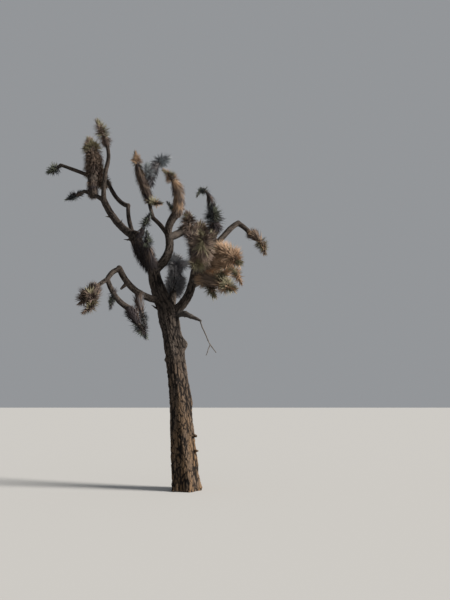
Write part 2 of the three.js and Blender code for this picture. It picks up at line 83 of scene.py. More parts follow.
# A limb: the limb that carries it and where, its tip, how far its middle bows off the straight
# line, its radius at both ends, and the dead leaves that swell its middle
Limb = namedtuple("Limb", "name carrier at tip bow root end swell", defaults=(0,))
MAIN_LIMBS = (
    Limb("main_bough_lower", "trunk", 1, (-735, 100, 4310), (-62, 0, 25), 196, 116),
    Limb("main_bough_upper", "main_bough_lower", 1, (-1150, 150, 5010), (-32, 0, 5), 112, 128, 85),
    Limb("right_bough_lower", "trunk", 0.97, (65, -150, 3900), (85, 0, -10), 104, 86),
    Limb("back_bough", "trunk", 0.97, (-370, 620, 3980), (0, 60, -40), 92, 74),
)
LEFT_LIMBS = (
    Limb("low_left_arch_inner", "main_bough_lower", 0.28, (-1250, -800, 4078), (-75, -100, -150), 76, 58),
    Limb("low_left_arch_outer", "low_left_arch_inner", 1, (-1435, -950, 3815), (-20, 0, 40), 50, 48),
    Limb("low_left_reach", "low_left_arch_outer", 1, (-1638, -1090, 3612), (0, 0, 12), 42, 40),
    Limb("low_left_drop", "low_left_arch_outer", 1, (-1012, -860, 3296), (-42, 0, -66), 46, 58),
    Limb("low_left_stub", "low_left_arch_inner", 0.75, (-1220, -690, 3710), (0, 0, 0), 40, 26),
    Limb("upper_left_arm", "main_bough_upper", 1, (-1905, 450, 5935), (-50, 25, -72), 86, 72),
    Limb("upper_left_low", "upper_left_arm", 1, (-2410, 700, 6225), (-20, 0, 30), 50, 42),
    Limb("upper_left_rise", "upper_left_arm", 1, (-1785, 200, 6690), (-35, 0, 0), 54, 45),
    Limb("upper_left_top", "upper_left_rise", 1, (-1790, -50, 7020), (35, 0, 0), 43, 42),
    Limb("upper_left_mid", "upper_left_low", 0.55, (-2260, 800, 6640), (0, 0, 0), 75, 120, 45),
    Limb("upper_left_west", "upper_left_mid", 0.92, (-3010, 850, 6920), (0, 0, 5), 48, 40),
    Limb("thin_bough_lower", "main_bough_upper", 0.84, (-1400, 650, 5880), (-60, 0, 0), 50, 45),
    Limb("thin_bough_upper", "thin_bough_lower", 1, (-1945, 1050, 6560), (-12, 0, -108), 54, 46),
)
RIGHT_LIMBS = (
    Limb("inner_bough", "main_bough_lower", 0.95, (-458, 450, 5030), (105, 50, -20), 98, 88),
    Limb("inner_left_lower", "inner_bough", 1, (-845, 600, 5565), (50, 0, 5), 52, 48),
    Limb("inner_left_upper", "inner_left_lower", 1, (-970, 700, 6070), (-10, 0, 0), 40, 44),
    Limb("inner_right", "inner_bough", 1, (-278, 310, 5585), (-98, 0, 0), 76, 94),
    Limb("back_rise", "back_bough", 1, (-360, 1000, 4380), (0, 0, 0), 70, 58),
    Limb("right_bough_upper", "right_bough_lower", 1, (170, -100, 4470), (0, 0, 0), 78, 72),
    Limb("right_rise", "right_bough_upper", 1, (530, -230, 5010), (45, 0, 0), 64, 85, 75),
    Limb("right_arch_inner", "right_bough_upper", 1, (730, 200, 5056), (14, 0, -18), 72, 62),
    Limb("right_arch_mid", "right_arch_inner", 1, (1014, 350, 5364), (-3, 0, 25), 62, 60),
    Limb("right_arch_outer", "right_arch_mid", 1, (1288, 400, 5114), (4, 0, 32), 56, 50),
    Limb("right_out", "right_bough_upper", 0.8, (560, -400, 4490), (0, 0, 30), 48, 44),
)
TWIGS = (
    Limb("dead_twig_upper", "right_bough_lower", 0.12, (265, -200, 3165), (0, 0, 50), 88, 20),
    Limb("dead_twig_lower", "dead_twig_upper", 1, (560, -300, 2545), (-28, 0, -18), 14, 8),
    Limb("side_twig", "dead_twig_lower", 0.72, (370, -310, 2490), (0, 0, 0), 10, 7),
)
LIMBS = (*MAIN_LIMBS, *LEFT_LIMBS, *RIGHT_LIMBS, *TWIGS)

# Broken stubs too small for the solids: the limb and where on it, the tip, and the radius at the root
Spur = namedtuple("Spur", "limb at tip radius")
SPURS = (
    Spur("trunk", 0.97, (-735, -30, 3520), 62),
    Spur("trunk", 0.69, (-452, 0, 2435), 60),
    Spur("trunk", 0.3, (200, -100, 985), 70),
    Spur("trunk", 0.22, (226, -90, 715), 74),
    Spur("trunk", 0.05, (-215, -225, 16), 90),
    Spur("main_bough_upper", 0.9, (-1362, 110, 4925), 44),
    Spur("upper_left_arm", 0.62, (-1808, 300, 5490), 40),
    Spur("upper_left_arm", 0.4, (-1418, 150, 5375), 30),
    Spur("right_bough_upper", 0.6, (15, -185, 4290), 34),
)

# A head: the limb that carries it, its tip, the point its stem passes through, the radius of its
# club of leaf bases, how far the leaves stand out of that, its palette, its bare share, its arms,
# and where on its limb it starts
Head = namedtuple("Head", "name carrier tip via club length palette bare arms at", defaults=(0, 0, 1))
HEADS = (
    Head("low_left_head", "low_left_reach", (-1785, -1300, 3340), (-1730, -1170, 3490), 105, 130,
         "brown", 0, 1),
    Head("low_left_under_head", "low_left_reach", (-1735, -1240, 3175), (-1612, -1150, 3385), 80, 110,
         "brown"),
    Head("low_left_tuft", "low_left_drop", (-1345, -980, 3290), None, 56, 80, "dark", 0, 0, 0.4),
    Head("hanging_head", "low_left_drop", (-720, -780, 2790), None, 108, 98, "dark", 0.1),
    Head("second_hanging_head", "low_left_arch_inner", (-742, -600, 3010), (-885, -530, 3420), 84, 80,
         "grey", 0.12, 0, 0.46),
    Head("west_low_head", "upper_left_low", (-2835, 880, 6105), (-2615, 800, 6165), 76, 90, "dark", 0.3),
    Head("top_head", "upper_left_top", (-1925, -180, 7372), None, 85, 160, "olive"),
    Head("tall_left_head", "upper_left_mid", (-2395, 850, 7545), (-2270, 850, 7060), 203, 115, "olive"),
    Head("west_head", "upper_left_west", (-3308, 955, 6795), None, 92, 120, "dark", 0.25),
    Head("hidden_left_head", "thin_bough_upper", (-2325, 1500, 7180), (-2190, 1270, 6780), 105, 160,
         "brown", 0.15, 1),
    Head("dark_head", "main_bough_upper", (-800, -180, 5370), (-920, -70, 5160), 70, 100,
         "dark", 0, 0, 0.85),
    Head("front_strip_head", "main_bough_lower", (-810, -430, 4895), (-785, -230, 4600), 82, 100,
         "dark", 0, 0, 0.93),
    Head("long_sheath_head", "inner_left_upper", (-1295, 750, 7155), (-1200, 740, 6705), 92, 110, "umber"),
    Head("cross_tuft", "inner_left_upper", (-690, 590, 5890), None, 78, 110, "umber", 0, 0, 0.85),
    Head("pale_head", "inner_left_upper", (-625, 1150, 7230), (-945, 950, 6780), 95, 170, "pale", 0.3, 1),
    Head("curved_head", "inner_right", (-548, -80, 6362), (-292, 130, 6062), 125, 85, "orange"),
    Head("side_tuft", "inner_right", (-480, 210, 5760), None, 54, 90, "dark", 0, 0, 0.92),
    Head("crown_back_head", "right_bough_upper", (120, 1250, 5570), (175, 700, 5150), 155, 190,
         "brown", 0.08, 2, 0.9),
    Head("crown_back_low_head", "right_bough_lower", (480, 1400, 4930), (370, 740, 4420), 145, 190,
         "tan", 0.3, 2),
    Head("bridge_head", "inner_right", (-105, 690, 5705), (-118, 550, 5325), 132, 120,
         "brown", 0.42, 0, 0.1),
    Head("dark_crown_head", "right_rise", (482, -400, 5430), None, 132, 170, "dark"),
    Head("crest_head", "right_rise", (180, -350, 5715), (385, -270, 5740), 54, 100, "dark", 0.45, 0, 0.9),
    Head("orange_head", "right_out", (988, -620, 4228), (760, -500, 4470), 163, 150, "tan"),
    Head("small_right_head", "right_bough_upper", (1030, -300, 3930), (700, -220, 4290), 85, 120,
         "tan", 0.3, 0, 0.5),
    Head("low_right_head", "right_bough_upper", (890, -640, 3712), (420, -380, 3940), 125, 150,
         "sage", 0.2, 2, 0.15),
    Head("front_head", "right_bough_upper", (310, -1250, 4560), (300, -680, 4350), 135, 190,
         "brown", 0.2, 2, 0.4),
    Head("arch_head", "right_arch_outer", (1576, 490, 4745), (1455, 440, 5000), 108, 110, "orange"),
    # The two heads deep in shade behind the fork take the palette of painted skylit shade
    Head("inner_back_head", "back_rise", (-395, 1400, 4890), (-390, 1180, 4660), 110, 175, "dusk", 0, 2),
    Head("low_back_head", "back_bough", (-345, 1390, 4290), (-365, 1000, 4195), 166, 172,
         "dusk", 0.1, 2, 0.8),
)
LEFT_HEADS_END = 17

# The stem of a head, and the arms that leave it, as the solids have them. Bare numbers below 1 are
# shares of a length or girth, and leans are degrees
NECK_SHARE = 0.9
CLUB_RISE = 0.22
TIP_FROM = 0.75
TIP_ROUNDING = 0.45
ARM_FROM = 0.42
ARM_STEP = 0.22
ARM_LENGTH = 300
ARM_LEAN = 62
ARM_CURVE = 30
ARM_GIRTH = 0.72
ARM_BARE = 0.15
ARM_SEED = 7
ARM_SAMPLES = 12
LIMB_SAMPLES = 24
LEAST_SEPARATION = 6

# How deep a limb starts in its carrier, the share of the carrier's girth below which it has a
# collar, the slope above which a path counts as upright, and the shape of a stub
ROOT_INSET = 22
FORK_GIRTH = 0.8
UPRIGHT = 0.95
SPUR_BOW = -8
SPUR_TAPER = 0.72

# ---- Chance and meshes, with lengths in metres from here on ----

CHANCE_STRIDE = 127.1
CHANCE_SCALE = 43758.5453
CHUNK = 20000  # points worked on at once
TUBE_SIDES = 24
TRUNK_SIDES = 96
TUBE_STEP = 0.02
COLLAR_GIRTH = 0.32
COLLAR_REACH = 0.07
ROUND_END = ((0.5, 0.87), (0.87, 0.5))  # the lift and the girth of each ring of a round end

# ---- The bark's pattern ----

# Where the plates lie, and how deep the furrows are cut between them
GRAIN_SAMPLES = 60
GRAIN_STRETCH = 2.7
GRAIN_SHIFT = 17.3
LEAST_PLATE = 0.020
PLATE_SHARE = 0.32
LEAST_FURROW = 0.0035
FORK_BLEND = 0.05
FORK_SMOOTHING = 5
FOOT_SEAT = 0.016
CALM_FOOT = 0.05
PLATE_WOBBLE = 0.9
BARK_ROUGHNESS = 0.6

# The relief of one plate, in furrow depths, with widths counted in plates
MEAN_RELIEF = 0.75
PLATE_LIFT = (0.45, 0.8)
FURROW_WIDTH = (0.08, 0.30)
CRACK_WIDTH = 0.14
CRACK_FLOOR = 0.62
CRACK_STRETCH = (1.2, 1.2, 3.0)
RIDGE_STRETCH = (1.6, 1.6, 0.35)
RIDGE_RANGE = (0.3, 0.7)
RIDGE_HEIGHT = (-0.12, 0.32)

# The scale and the detail of each noise, and the range in which most of a noise lies
WOBBLE_NOISE = (1.1, 3)
WIDTH_NOISE = (0.45, 2)
RIDGE_NOISE = (1.0, 4)
LUMP_NOISE = (5.5, 2)
ROUGH_NOISE = (85, 3)
PATCH_NOISE = (7, 5)
GRAIN_NOISE = (60, 6)
TWIG_NOISE = (90, 5)
MOTTLE_NOISE = (14, 4)
SKIN_DETAIL = 3
NOISE_RANGE = (0.35, 0.65)

# ---- Looks: linear colours, roughness with specular level, and a bump's distance with strength ----

BARK_STRETCH = 0.3
# Heights over which the trunk's plates go from painted low sunlight at the foot to the darker plate
# colour, painted shade of the crown
SUNLIT_FOOT_FADE = (0.2, 3.2)
WORN_PLATES = (0.070, 0.060, 0.054)
WORN_RAMP = (0.35, 0.7, 0, 0.55)
FLECKS = (0.018, 0.014, 0.012)
FLECK_RAMP = (0.35, 0.75, 0, 0.5)
CREST_RANGE = (0.05, 0.75)
TWIG_STRETCH = 0.25
TWIG_WOOD = ((0.030, 0.025, 0.022), (0.115, 0.100, 0.088))
TWIG_CRUST = ((0.012, 0.010, 0.009), (0.050, 0.040, 0.033))
CRUST_FADE = (3.02, 3.20)
SCALES_PER_METRE = 55
SCALE_EDGE = 0.12
LEAF_BASES = ((0.034, 0.028, 0.024), (0.080, 0.062, 0.050))
BETWEEN_BASES = (0.012, 0.010, 0.009)
BARK_FINISH = (0.95, 0.08)
TWIG_FINISH = (0.85, 0.5)
BASES_FINISH = (0.9, 0.5)
FLOOR_FINISH = (0.9, 0)
LEAF_FINISH = {"dead": (0.9, 0.12), "live": (0.65, 0.35)}
BARK_BUMP = (0.004, 0.6)
TWIG_BUMP = (0.002, 0.7)
BASES_BUMP = (0.006, 0.7)

# ---- Stems, and the dead twig's waves and knots ----

STEM_STEP = 0.025
STEM_END = 0.99
CORE_RISE = 0.2
CORE_TAPER = 0.6
CORE_TAPER_FROM = 0.85
STEM_SKIN = {"Sides": 10, "Skin depth": 0.016, "Skin scale": 30.0}
TWIG_SKIN = {"Sides": 8, "Skin depth": 0.004, "Skin scale": 45.0}
TWIG_STEP = 0.02
TWIG_WIGGLES = {"dead_twig_upper": 0.014, "dead_twig_lower": 0.012, "side_twig": 0.006}
SWAY_WAVES = (13, 5.3)
SWING_WAVES = 9
SWING_SHARE = 0.6
KNOTS = 31
KNOT_GIRTH = 0.22
KNOT_SHARPNESS = 6

# ---- How the leaves stand ----

# What is known of each leaf before it is made
LEAF_FIELDS = ("root", "direction", "side", "leaf_length", "tint")

# The golden-angle spiral, and the share of a leaf's reach that the thick of the leaves fills
GOLDEN_ANGLE = 137.508
BEARING_MESS = 30
CROWDING = 0.85
OUTLINE_SAMPLES = 30
OUTLINE_REACH = 0.3
CLEAR_SAMPLES = 30
ROOT_DEPTH = 0.7
LOOSE = (0.2, 1.05)
LOOSE_CROWDING = 1.3
LEAF_TWIST = 0.5
WIDTH_SPREAD = 0.22

# The green rosette at the tip, whose leaves turn from forward to outward away from it
LIVE_REACH = 0.27
LIVE_SPREAD = (0.75, 1.25)
LIVE_TILT = (8, 98)
LIVE_TILT_LIMITS = (4, 116)
LIVE_MESS = 34
LIVE_SEAT = (0.25, 0.9)
TILT_FROM = -0.05
TILT_UNTIL = 0.75
SEAT_UNTIL = 0.8
LEAST_LEAF = 0.13

# The dead skirt, whose leaves hang back along the stem
DEAD_SEAT = 0.92
DEAD_LOOSE = 0.75
DEAD_SPAN = (0.7, 1.05)
DEAD_TILT = (100, 170)
DEAD_MESS = 22
LEAST_LEAN = 0.05
SHORT_AT_NECK = 0.55
NECK_REACH = 0.2

# A blade's rings: their height, width and share of its arch
BLADE_RINGS = ((0.0, 0.62, 0.0), (0.38, 1.0, 0.55))
FRESH_ARCH = 1.6
DRY_ARCH = -2.4

# Sprays of one tint, and the boughs that dead leaves cling to, each with its palette and girth
SPRAY_HEIGHT = 0.11
SPRAY_SECTORS = 5
SPRAY_STRIDES = (3.7, 1.9)
SHEATH_REACH = 0.07
SHEATH_LIVE_REACH = 0.001
SHEATH_SEED = 900
SHEATHS = (("main_bough_upper", "dark", 0.95), ("upper_left_mid", "umber", 0.8),
           ("right_rise", "umber", 0.95))

# Base colours of the leaves, linear, and the mix of dead and living ones in each palette
TINTS = {
    "dead_umber": (0.092, 0.070, 0.060),
    "dead_brown": (0.135, 0.101, 0.080),
    "dead_dark": (0.039, 0.033, 0.035),
    "dead_tan": (0.262, 0.180, 0.120),
    "dead_grey": (0.098, 0.094, 0.098),
    "dead_slate": (0.132, 0.130, 0.142),
    "live_olive": (0.150, 0.134, 0.084),
    "live_green": (0.078, 0.087, 0.066),
    "live_grey": (0.082, 0.095, 0.100),
    "live_dark": (0.036, 0.041, 0.045),
    "live_pale": (0.205, 0.228, 0.243),
    "live_slate": (0.125, 0.135, 0.148),
    # Painted skylit shade: pale bluish greys, lighter than the leaves' own colour, that lift the heads
    # deep behind the fork out of their shade
    "dead_dusk": (0.205, 0.205, 0.215),
    "live_dusk": (0.180, 0.190, 0.205),
    "dead_straw": (0.290, 0.198, 0.133),
}
TINT_NAMES = tuple(TINTS)
PALETTES = {
    "brown": (("dead_brown", "dead_umber", "dead_dark", "dead_brown"),
              ("dead_brown", "live_olive", "dead_umber")),
    "umber": (("dead_umber", "dead_dark", "dead_brown"), ("live_olive", "dead_tan", "dead_umber")),
    "dark": (("dead_dark", "dead_umber", "dead_dark"), ("live_dark", "live_green", "dead_dark")),
    "grey": (("dead_grey", "dead_umber", "dead_dark"), ("live_grey", "dead_grey", "live_dark")),
    # Painted skylit shade for the heads deep behind the fork
    "dusk": (("dead_dusk", "dead_slate", "dead_dusk"), ("live_dusk", "dead_dusk")),
    "olive": (("dead_brown", "dead_umber"), ("live_olive", "dead_brown", "live_olive")),
    "orange": (("dead_tan", "dead_brown", "dead_umber"), ("dead_tan", "live_olive", "dead_brown")),
    "tan": (("dead_straw", "dead_tan", "dead_straw"), ("dead_straw", "live_olive", "dead_straw")),
    "sage": (("dead_tan", "dead_brown", "dead_umber"), ("live_olive", "dead_tan", "live_olive")),
    "pale": (("dead_slate", "dead_grey"), ("live_pale", "live_pale", "live_slate")),
}

# ---- The stage: its floor, the key light seen from the tree, and the photograph's camera ----

FLOOR_CORNERS = ((-120, -60, 0), (120, -60, 0), (120, 180, 0), (-120, 180, 0))
KEY_FROM = (0.92, -0.24, 0.35)
KEY_COLOUR = (1.0, 0.945, 0.87)
CAMERA_PLACE = (0.73, -10.48, 1.6)
CAMERA_TILT = 10.94
CAMERA_LENS = 31.98
CAMERA_FILM = 36


# ---- Settings that a user would change ----

def a_number(name, description, default, **options):
    """A setting that is a number."""
    return FloatProperty(name=name, description=description, default=default, **options)


def a_length(name, description, default):
    """A setting that is a length in metres."""
    return a_number(name, description, default, unit="LENGTH")


def a_colour(name, description, default):
    """A setting that is a linear colour."""
    return FloatVectorProperty(name=name, description=description, default=default, subtype="COLOR")


class BarkSettings(bpy.types.PropertyGroup):
    """Relief and colours of the bark."""
    trunk_voxel: a_length("Trunk mesh size", "Size of the faces that the trunk's bark is made of", 0.0104)
    bough_voxel: a_length("Bough mesh size", "Size of the faces that the boughs' bark is made of", 0.0077)
    furrow_depth: a_number(
        "Furrow depth", "Depth of the furrows on a limb, as a share of its radius", 0.085)
    deepest_furrow: a_length("Deepest furrow", "Depth of the furrows on the trunk", 0.019)
    lumps: a_number("Lumps", "Unevenness of the limbs, as a multiple of the furrows' depth", 2.6)
    plate_size: a_length("Plate width", "Width of the corky plates on the trunk", 0.062)
    plate_colour: a_colour("Plates", "Colour of the weathered plates", (0.066, 0.053, 0.044))
    furrow_colour: a_colour("Furrows", "Colour deep in the furrows", (0.009, 0.0075, 0.007))
    # Painted light: the lighter, warmer plates near the ground are painted low sunlight, fading up into
    # painted shade of the crown
    sunlit_foot_colour: a_colour("Foot", "Warmer colour of the plates near the ground", (0.138, 0.088, 0.050))


class LeafSettings(bpy.types.PropertyGroup):
    """Number and size of the leaves."""
    density: a_number("Leaves per square metre", "Leaves for each square metre of a head's outline", 1700)
    width: a_length("Leaf width", "Width of a leaf at its widest", 0.017)
    thickness: a_length("Leaf thickness", "Thickness of a leaf at its keel", 0.006)
    longest: a_length("Longest leaf", "Length of a full-grown leaf", 0.27)
    core: a_number("Stem core", "Radius of a leafy stem as a share of its club", 0.42)


class StageSettings(bpy.types.PropertyGroup):
    """Floor, backdrop and light."""
    floor_colour: a_colour("Floor", "Colour of the floor", (0.46, 0.46, 0.455))
    sky_colour: a_colour(
        "Backdrop", "Colour of the plain backdrop and the soft light from all sides", (0.84, 0.87, 0.91))
    fill: a_number("Fill light", "Strength of the soft light from all sides", 0.35)
    key: a_number("Key light", "Strength of the soft low light on the right", 9.5)
    softness: a_number("Softness", "Angle that the light fills, which softens its shadows",
                       math.radians(16), subtype="ANGLE")


# ---- Curves and tubes ----

def chance(seed):
    """A repeatable number from 0 to 1 for each seed."""
    value = np.sin(np.asarray(seed, float) * CHANCE_STRIDE) * CHANCE_SCALE
    return value - np.floor(value)


def smoothstep(value, low, high):
    """0 below low, 1 above high, and a smooth rise between them."""
    share = np.clip((np.asarray(value, float) - low) / (high - low), 0, 1)
    return share * share * (3 - 2 * share)


def lerp(start, end, share):
    """The value at a share of the way from start to end."""
    return start + (end - start) * share


def metres(values):
    """Millimetres as metres."""
    return np.array(values, float) * MILLIMETRE


class Path:
    """A curve from root to tip whose middle passes through a point, read by its length."""
    DIVISIONS = 200
    STRAIGHT = 1e-4

    def __init__(self, root, middle, tip):
        self.root = root
        self.tip = tip
        self.bend = 2 * middle - (root + tip) / 2
        self.shares = np.linspace(0, 1, self.DIVISIONS + 1)
        steps = np.linalg.norm(np.diff(self._place(self.shares), axis=0), axis=1)
        self.lengths = np.concatenate([[0], np.cumsum(steps)])
        self.length = self.lengths[-1]

    def _place(self, share):
        share = np.asarray(share, float)[..., None]
        rest = 1 - share
        return rest ** 2 * self.root + 2 * rest * share * self.bend + share ** 2 * self.tip

    def _share(self, along):
        return np.interp(np.asarray(along, float) * self.length, self.lengths, self.shares)

    def point(self, along):
        """The point at a share of the length."""
        return self._place(self._share(along))

    def tangent(self, along):
        """The direction at a share of the length."""
        share = self._share(along)[..., None]
        way = (1 - share) * (self.bend - self.root) + share * (self.tip - self.bend)
        return way / np.linalg.norm(way, axis=-1, keepdims=True)

    def sides(self, along):
        """Two directions across the path, without any twist along it."""
        tangent = self.tangent(along)
        chord = self.tip - self.root
        across = np.cross(self.bend - self.root, chord)
        if np.linalg.norm(across) < self.STRAIGHT * np.linalg.norm(chord) ** 2:
            across = np.cross(chord, (1, 0, 0) if abs(chord[0]) < abs(chord[2]) else (0, 0, 1))
        across = np.broadcast_to(across / np.linalg.norm(across), tangent.shape)
        return across, np.cross(tangent, across)


def bowed_path(root, tip, bow):
    """A path whose middle bows off the straight line."""
    return Path(root, (root + tip) / 2 + metres(bow), tip)


def frame_at(path, along):
    """The source's directions across a path, from the level plane unless the path is upright."""
    tangent = path.tangent(along)
    upright = np.abs(tangent[..., 2:]) > UPRIGHT
    level = np.where(upright, (1.0, 0.0, 0.0), (0.0, 0.0, 1.0))
    normal = np.cross(level, tangent)
    normal /= np.linalg.norm(normal, axis=-1, keepdims=True)
    return tangent, normal, np.cross(tangent, normal)


# A limb or stem: its path, its radius along it and at its tip, and whether it forks off its carrier
Shape = namedtuple("Shape", "name path radius_at end is_fork", defaults=(False,))


def trunk_radius(along, bearing):
    """The radius of the trunk: its root flare, furrows and burls."""
    height = along * FORK_HEIGHT
    flare = np.exp(-height / FLARE_HEIGHT)
    depth = FURROW_DEPTH + FLARE_FURROW_DEPTH * flare
    furrows = depth * np.cos(FURROWS * bearing + height / FURROW_TWIST)
    radius = TRUNK_RADIUS + FLARE_RADIUS * flare + furrows
    for burl in BURLS:
        rise = np.exp(-((height - burl.height) / burl.spread) ** 2)
        facing = ((1 + np.cos(bearing - math.radians(burl.bearing))) / 2) ** burl.sharp
        radius = radius + burl.out * rise * facing
    return radius * MILLIMETRE


def trunk_shape():
    """The trunk's path and mean radius."""
    path = bowed_path(np.zeros(3), metres((*FORK_OFFSET, FORK_HEIGHT)), (*TRUNK_BELLY, 0))

    def radius_at(along):
        return trunk_radius(along, math.pi / 2)

    return Shape("trunk", path, radius_at, TRUNK_RADIUS * MILLIMETRE)


def root_of(carrier, at):
    """Where a limb or stem starts, a little inside the one that carries it."""
    inset = ROOT_INSET * MILLIMETRE if at == 1 else 0
    return carrier.path.point(at) - carrier.path.tangent(at) * inset


def limb_shape(limb, shapes):
    """A limb's path and radius. A forking limb has a collar where it leaves its carrier."""
    carrier = shapes[limb.carrier]
    path = bowed_path(root_of(carrier, limb.at), metres(limb.tip), limb.bow)
    start, end = limb.root * MILLIMETRE, limb.end * MILLIMETRE
    is_fork = limb.at < 1 or start < FORK_GIRTH * carrier.end

    def radius_at(along):
        return lerp(start, end, np.asarray(along, float))

    return Shape(limb.name, path, radius_at, end, is_fork)


def spur_shape(spur):
    """A short stub that tapers to its tip."""
    root = SHAPES.limbs[spur.limb].path.point(spur.at)
    radius = spur.radius * MILLIMETRE

    def radius_at(along):
        return radius * (1 - SPUR_TAPER * np.asarray(along, float))

    return Shape("spur", bowed_path(root, metres(spur.tip), (0, 0, SPUR_BOW)), radius_at, radius)


def club_shape(name, path, neck, club, bare):
    """A head's stem: a neck, a club of leaf bases and a rounded tip."""
    def radius_at(along):
        rise = smoothstep(along, bare, bare + CLUB_RISE)
        rounding = 1 - TIP_ROUNDING * smoothstep(along, TIP_FROM, 1)
        return lerp(neck, club, rise) * rounding

    return Shape(name, path, radius_at, club)


def head_shape(head, shapes):
    """The stem of a head."""
    carrier = shapes[head.carrier]
    root = root_of(carrier, head.at)
    tip = metres(head.tip)
    middle = (root + tip) / 2 if head.via is None else metres(head.via)
    club = head.club * MILLIMETRE
    neck = min(carrier.end * NECK_SHARE, club)
    return club_shape(head.name, Path(root, middle, tip), neck, club, head.bare)


def arm_shapes(head, stem, order):
    """The side heads of a head, each leaning out of its stem by a seeded bearing."""
    arms = []
    for i in range(head.arms):
        at = ARM_FROM + ARM_STEP * i
        bearing = math.radians(360 * chance(ARM_SEED * order) + 180 * i)
        tangent, normal, binormal = frame_at(stem.path, at)
        side = normal * math.cos(bearing) + binormal * math.sin(bearing)
        lean = math.radians(ARM_LEAN)
        reach = tangent * math.cos(lean) + side * math.sin(lean)
        root = stem.path.point(at)
        tip = root + reach * ARM_LENGTH * MILLIMETRE
        middle = (root + tip) / 2 + side * ARM_CURVE * MILLIMETRE
        club = head.club * ARM_GIRTH * MILLIMETRE
        path = Path(root, middle, tip)
        arms.append(club_shape(f"{head.name}_arm_{i}", path, club * NECK_SHARE, club, 0))
    return arms


def is_clear(shape, others):
    """Whether a stem keeps the least distance from all others."""
    along = np.linspace(0, 1, ARM_SAMPLES)
    points = shape.path.point(along)
    radii = shape.radius_at(along)
    there = np.linspace(0, 1, LIMB_SAMPLES)
    for other in others:
        gaps = np.linalg.norm(points[:, None] - other.path.point(there)[None], axis=-1)
        gaps -= radii[:, None] + other.radius_at(there)[None]
        if gaps.min() < LEAST_SEPARATION * MILLIMETRE:
            return False
    return True


class TreeShapes:
    """Every limb and stem of the tree, worked out once."""

    def __init__(self):
        self.limbs = {"trunk": trunk_shape()}
        for limb in LIMBS:
            self.limbs[limb.name] = limb_shape(limb, self.limbs)
        self.clubs = {}
        for order, head in enumerate(HEADS):
            stem = head_shape(head, self.limbs)
            clubs = [club for stems in self.clubs.values() for club in stems]
            others = [*self.limbs.values(), *clubs]
            arms = [arm for arm in arm_shapes(head, stem, order) if is_clear(arm, others)]
            self.clubs[head.name] = [stem, *arms]


SHAPES = TreeShapes()


# ---- Meshes ----

def put_in_scene(name, data):
    """A new object in the scene for a mesh, curve, light or camera."""
    piece = bpy.data.objects.new(name, data)
    bpy.context.scene.collection.objects.link(piece)
    return piece


def mesh_object(name, points, faces=()):
    """A new mesh object in the scene."""
    mesh = bpy.data.meshes.new(name)
    mesh.from_pydata([tuple(point) for point in points], [], [tuple(face) for face in faces])
    return put_in_scene(name, mesh)


def add_attribute(mesh, name, values):
    """Stores one number or one vector for each point of a mesh."""
    values = np.asarray(values, np.float32)
    is_vector = values.ndim == 2
    attribute = mesh.attributes.new(name, "FLOAT_VECTOR" if is_vector else "FLOAT", "POINT")
    attribute.data.foreach_set("vector" if is_vector else "value", values.ravel())


def points_of(mesh):
    """The points of a mesh, one row each."""
    points = np.empty(len(mesh.vertices) * 3, np.float32)
    mesh.vertices.foreach_get("co", points)
    return points.reshape(-1, 3).astype(float)


def settled(piece, name):
    """The evaluated shape of an object as a plain mesh object. The object itself goes."""
    depsgraph = bpy.context.evaluated_depsgraph_get()
    mesh = bpy.data.meshes.new_from_object(piece.evaluated_get(depsgraph), depsgraph=depsgraph)
    mesh.name = name
    data = piece.data
    bpy.data.objects.remove(piece)
    store = bpy.data.meshes if isinstance(data, bpy.types.Mesh) else bpy.data.curves
    store.remove(data)
    return put_in_scene(name, mesh)


def tube_rings(shape):
    """Points and faces of a closed tube with round ends. The trunk's rings are level."""
    is_trunk = shape.name == "trunk"
    sides = TRUNK_SIDES if is_trunk else TUBE_SIDES
    count = max(4, round(shape.path.length / TUBE_STEP))
    along = np.linspace(0, 1, count + 1)
    centres = shape.path.point(along)
    tangents = shape.path.tangent(along)
    radii = shape.radius_at(along)
    bearings = np.arange(sides) / sides * 2 * math.pi
    if is_trunk:
        first, second = (np.broadcast_to(axis, centres.shape) for axis in ((1.0, 0, 0), (0, 1.0, 0)))
        grid = trunk_radius(along[:, None], bearings[None] + 0 * along[:, None])
    else:
        if shape.is_fork:
            radii = radii * (1 + COLLAR_GIRTH * np.exp(-along * shape.path.length / COLLAR_REACH))
        first, second = shape.path.sides(along)
        grid = np.repeat(radii[:, None], sides, axis=1)
    way = (first[:, None] * np.cos(bearings)[None, :, None]
           + second[:, None] * np.sin(bearings)[None, :, None])
    rings = list(centres[:, None] + way * grid[..., None])
    start = centres[0]
    end = centres[-1] + tangents[-1] * radii[-1]
    for lift, shrink in ROUND_END:
        out = way[-1] * grid[-1][:, None] * shrink
        rings.append(centres[-1] + tangents[-1] * radii[-1] * lift + out)
        if not is_trunk:
            rings.insert(0, centres[0] - tangents[0] * radii[0] * lift + way[0] * radii[0] * shrink)
            start = centres[0] - tangents[0] * radii[0]
    points = np.concatenate([*rings, [start, end]])
    last = (len(rings) - 1) * sides
    neighbours = [(side, (side + 1) % sides) for side in range(sides)]
    faces = [(low + side, low + after, low + sides + after, low + sides + side)
             for low in range(0, last, sides) for side, after in neighbours]
    for side, after in neighbours:
        faces.append((after, side, len(points) - 2))
        faces.append((last + side, last + after, len(points) - 1))
    return points, faces


def joined_tubes(name, shapes):
    """One mesh object of several closed tubes."""
    points, faces = [], []
    for shape in shapes:
        start = sum(map(len, points))
        own_points, own_faces = tube_rings(shape)
        points.append(own_points)
        faces.extend(tuple(index + start for index in face) for face in own_faces)
    return mesh_object(name, np.concatenate(points), faces)


def chunks(count):
    """Slices that cover a long array in parts that fit in memory."""
    return [slice(start, start + CHUNK) for start in range(0, count, CHUNK)]


# ---- Node trees ----

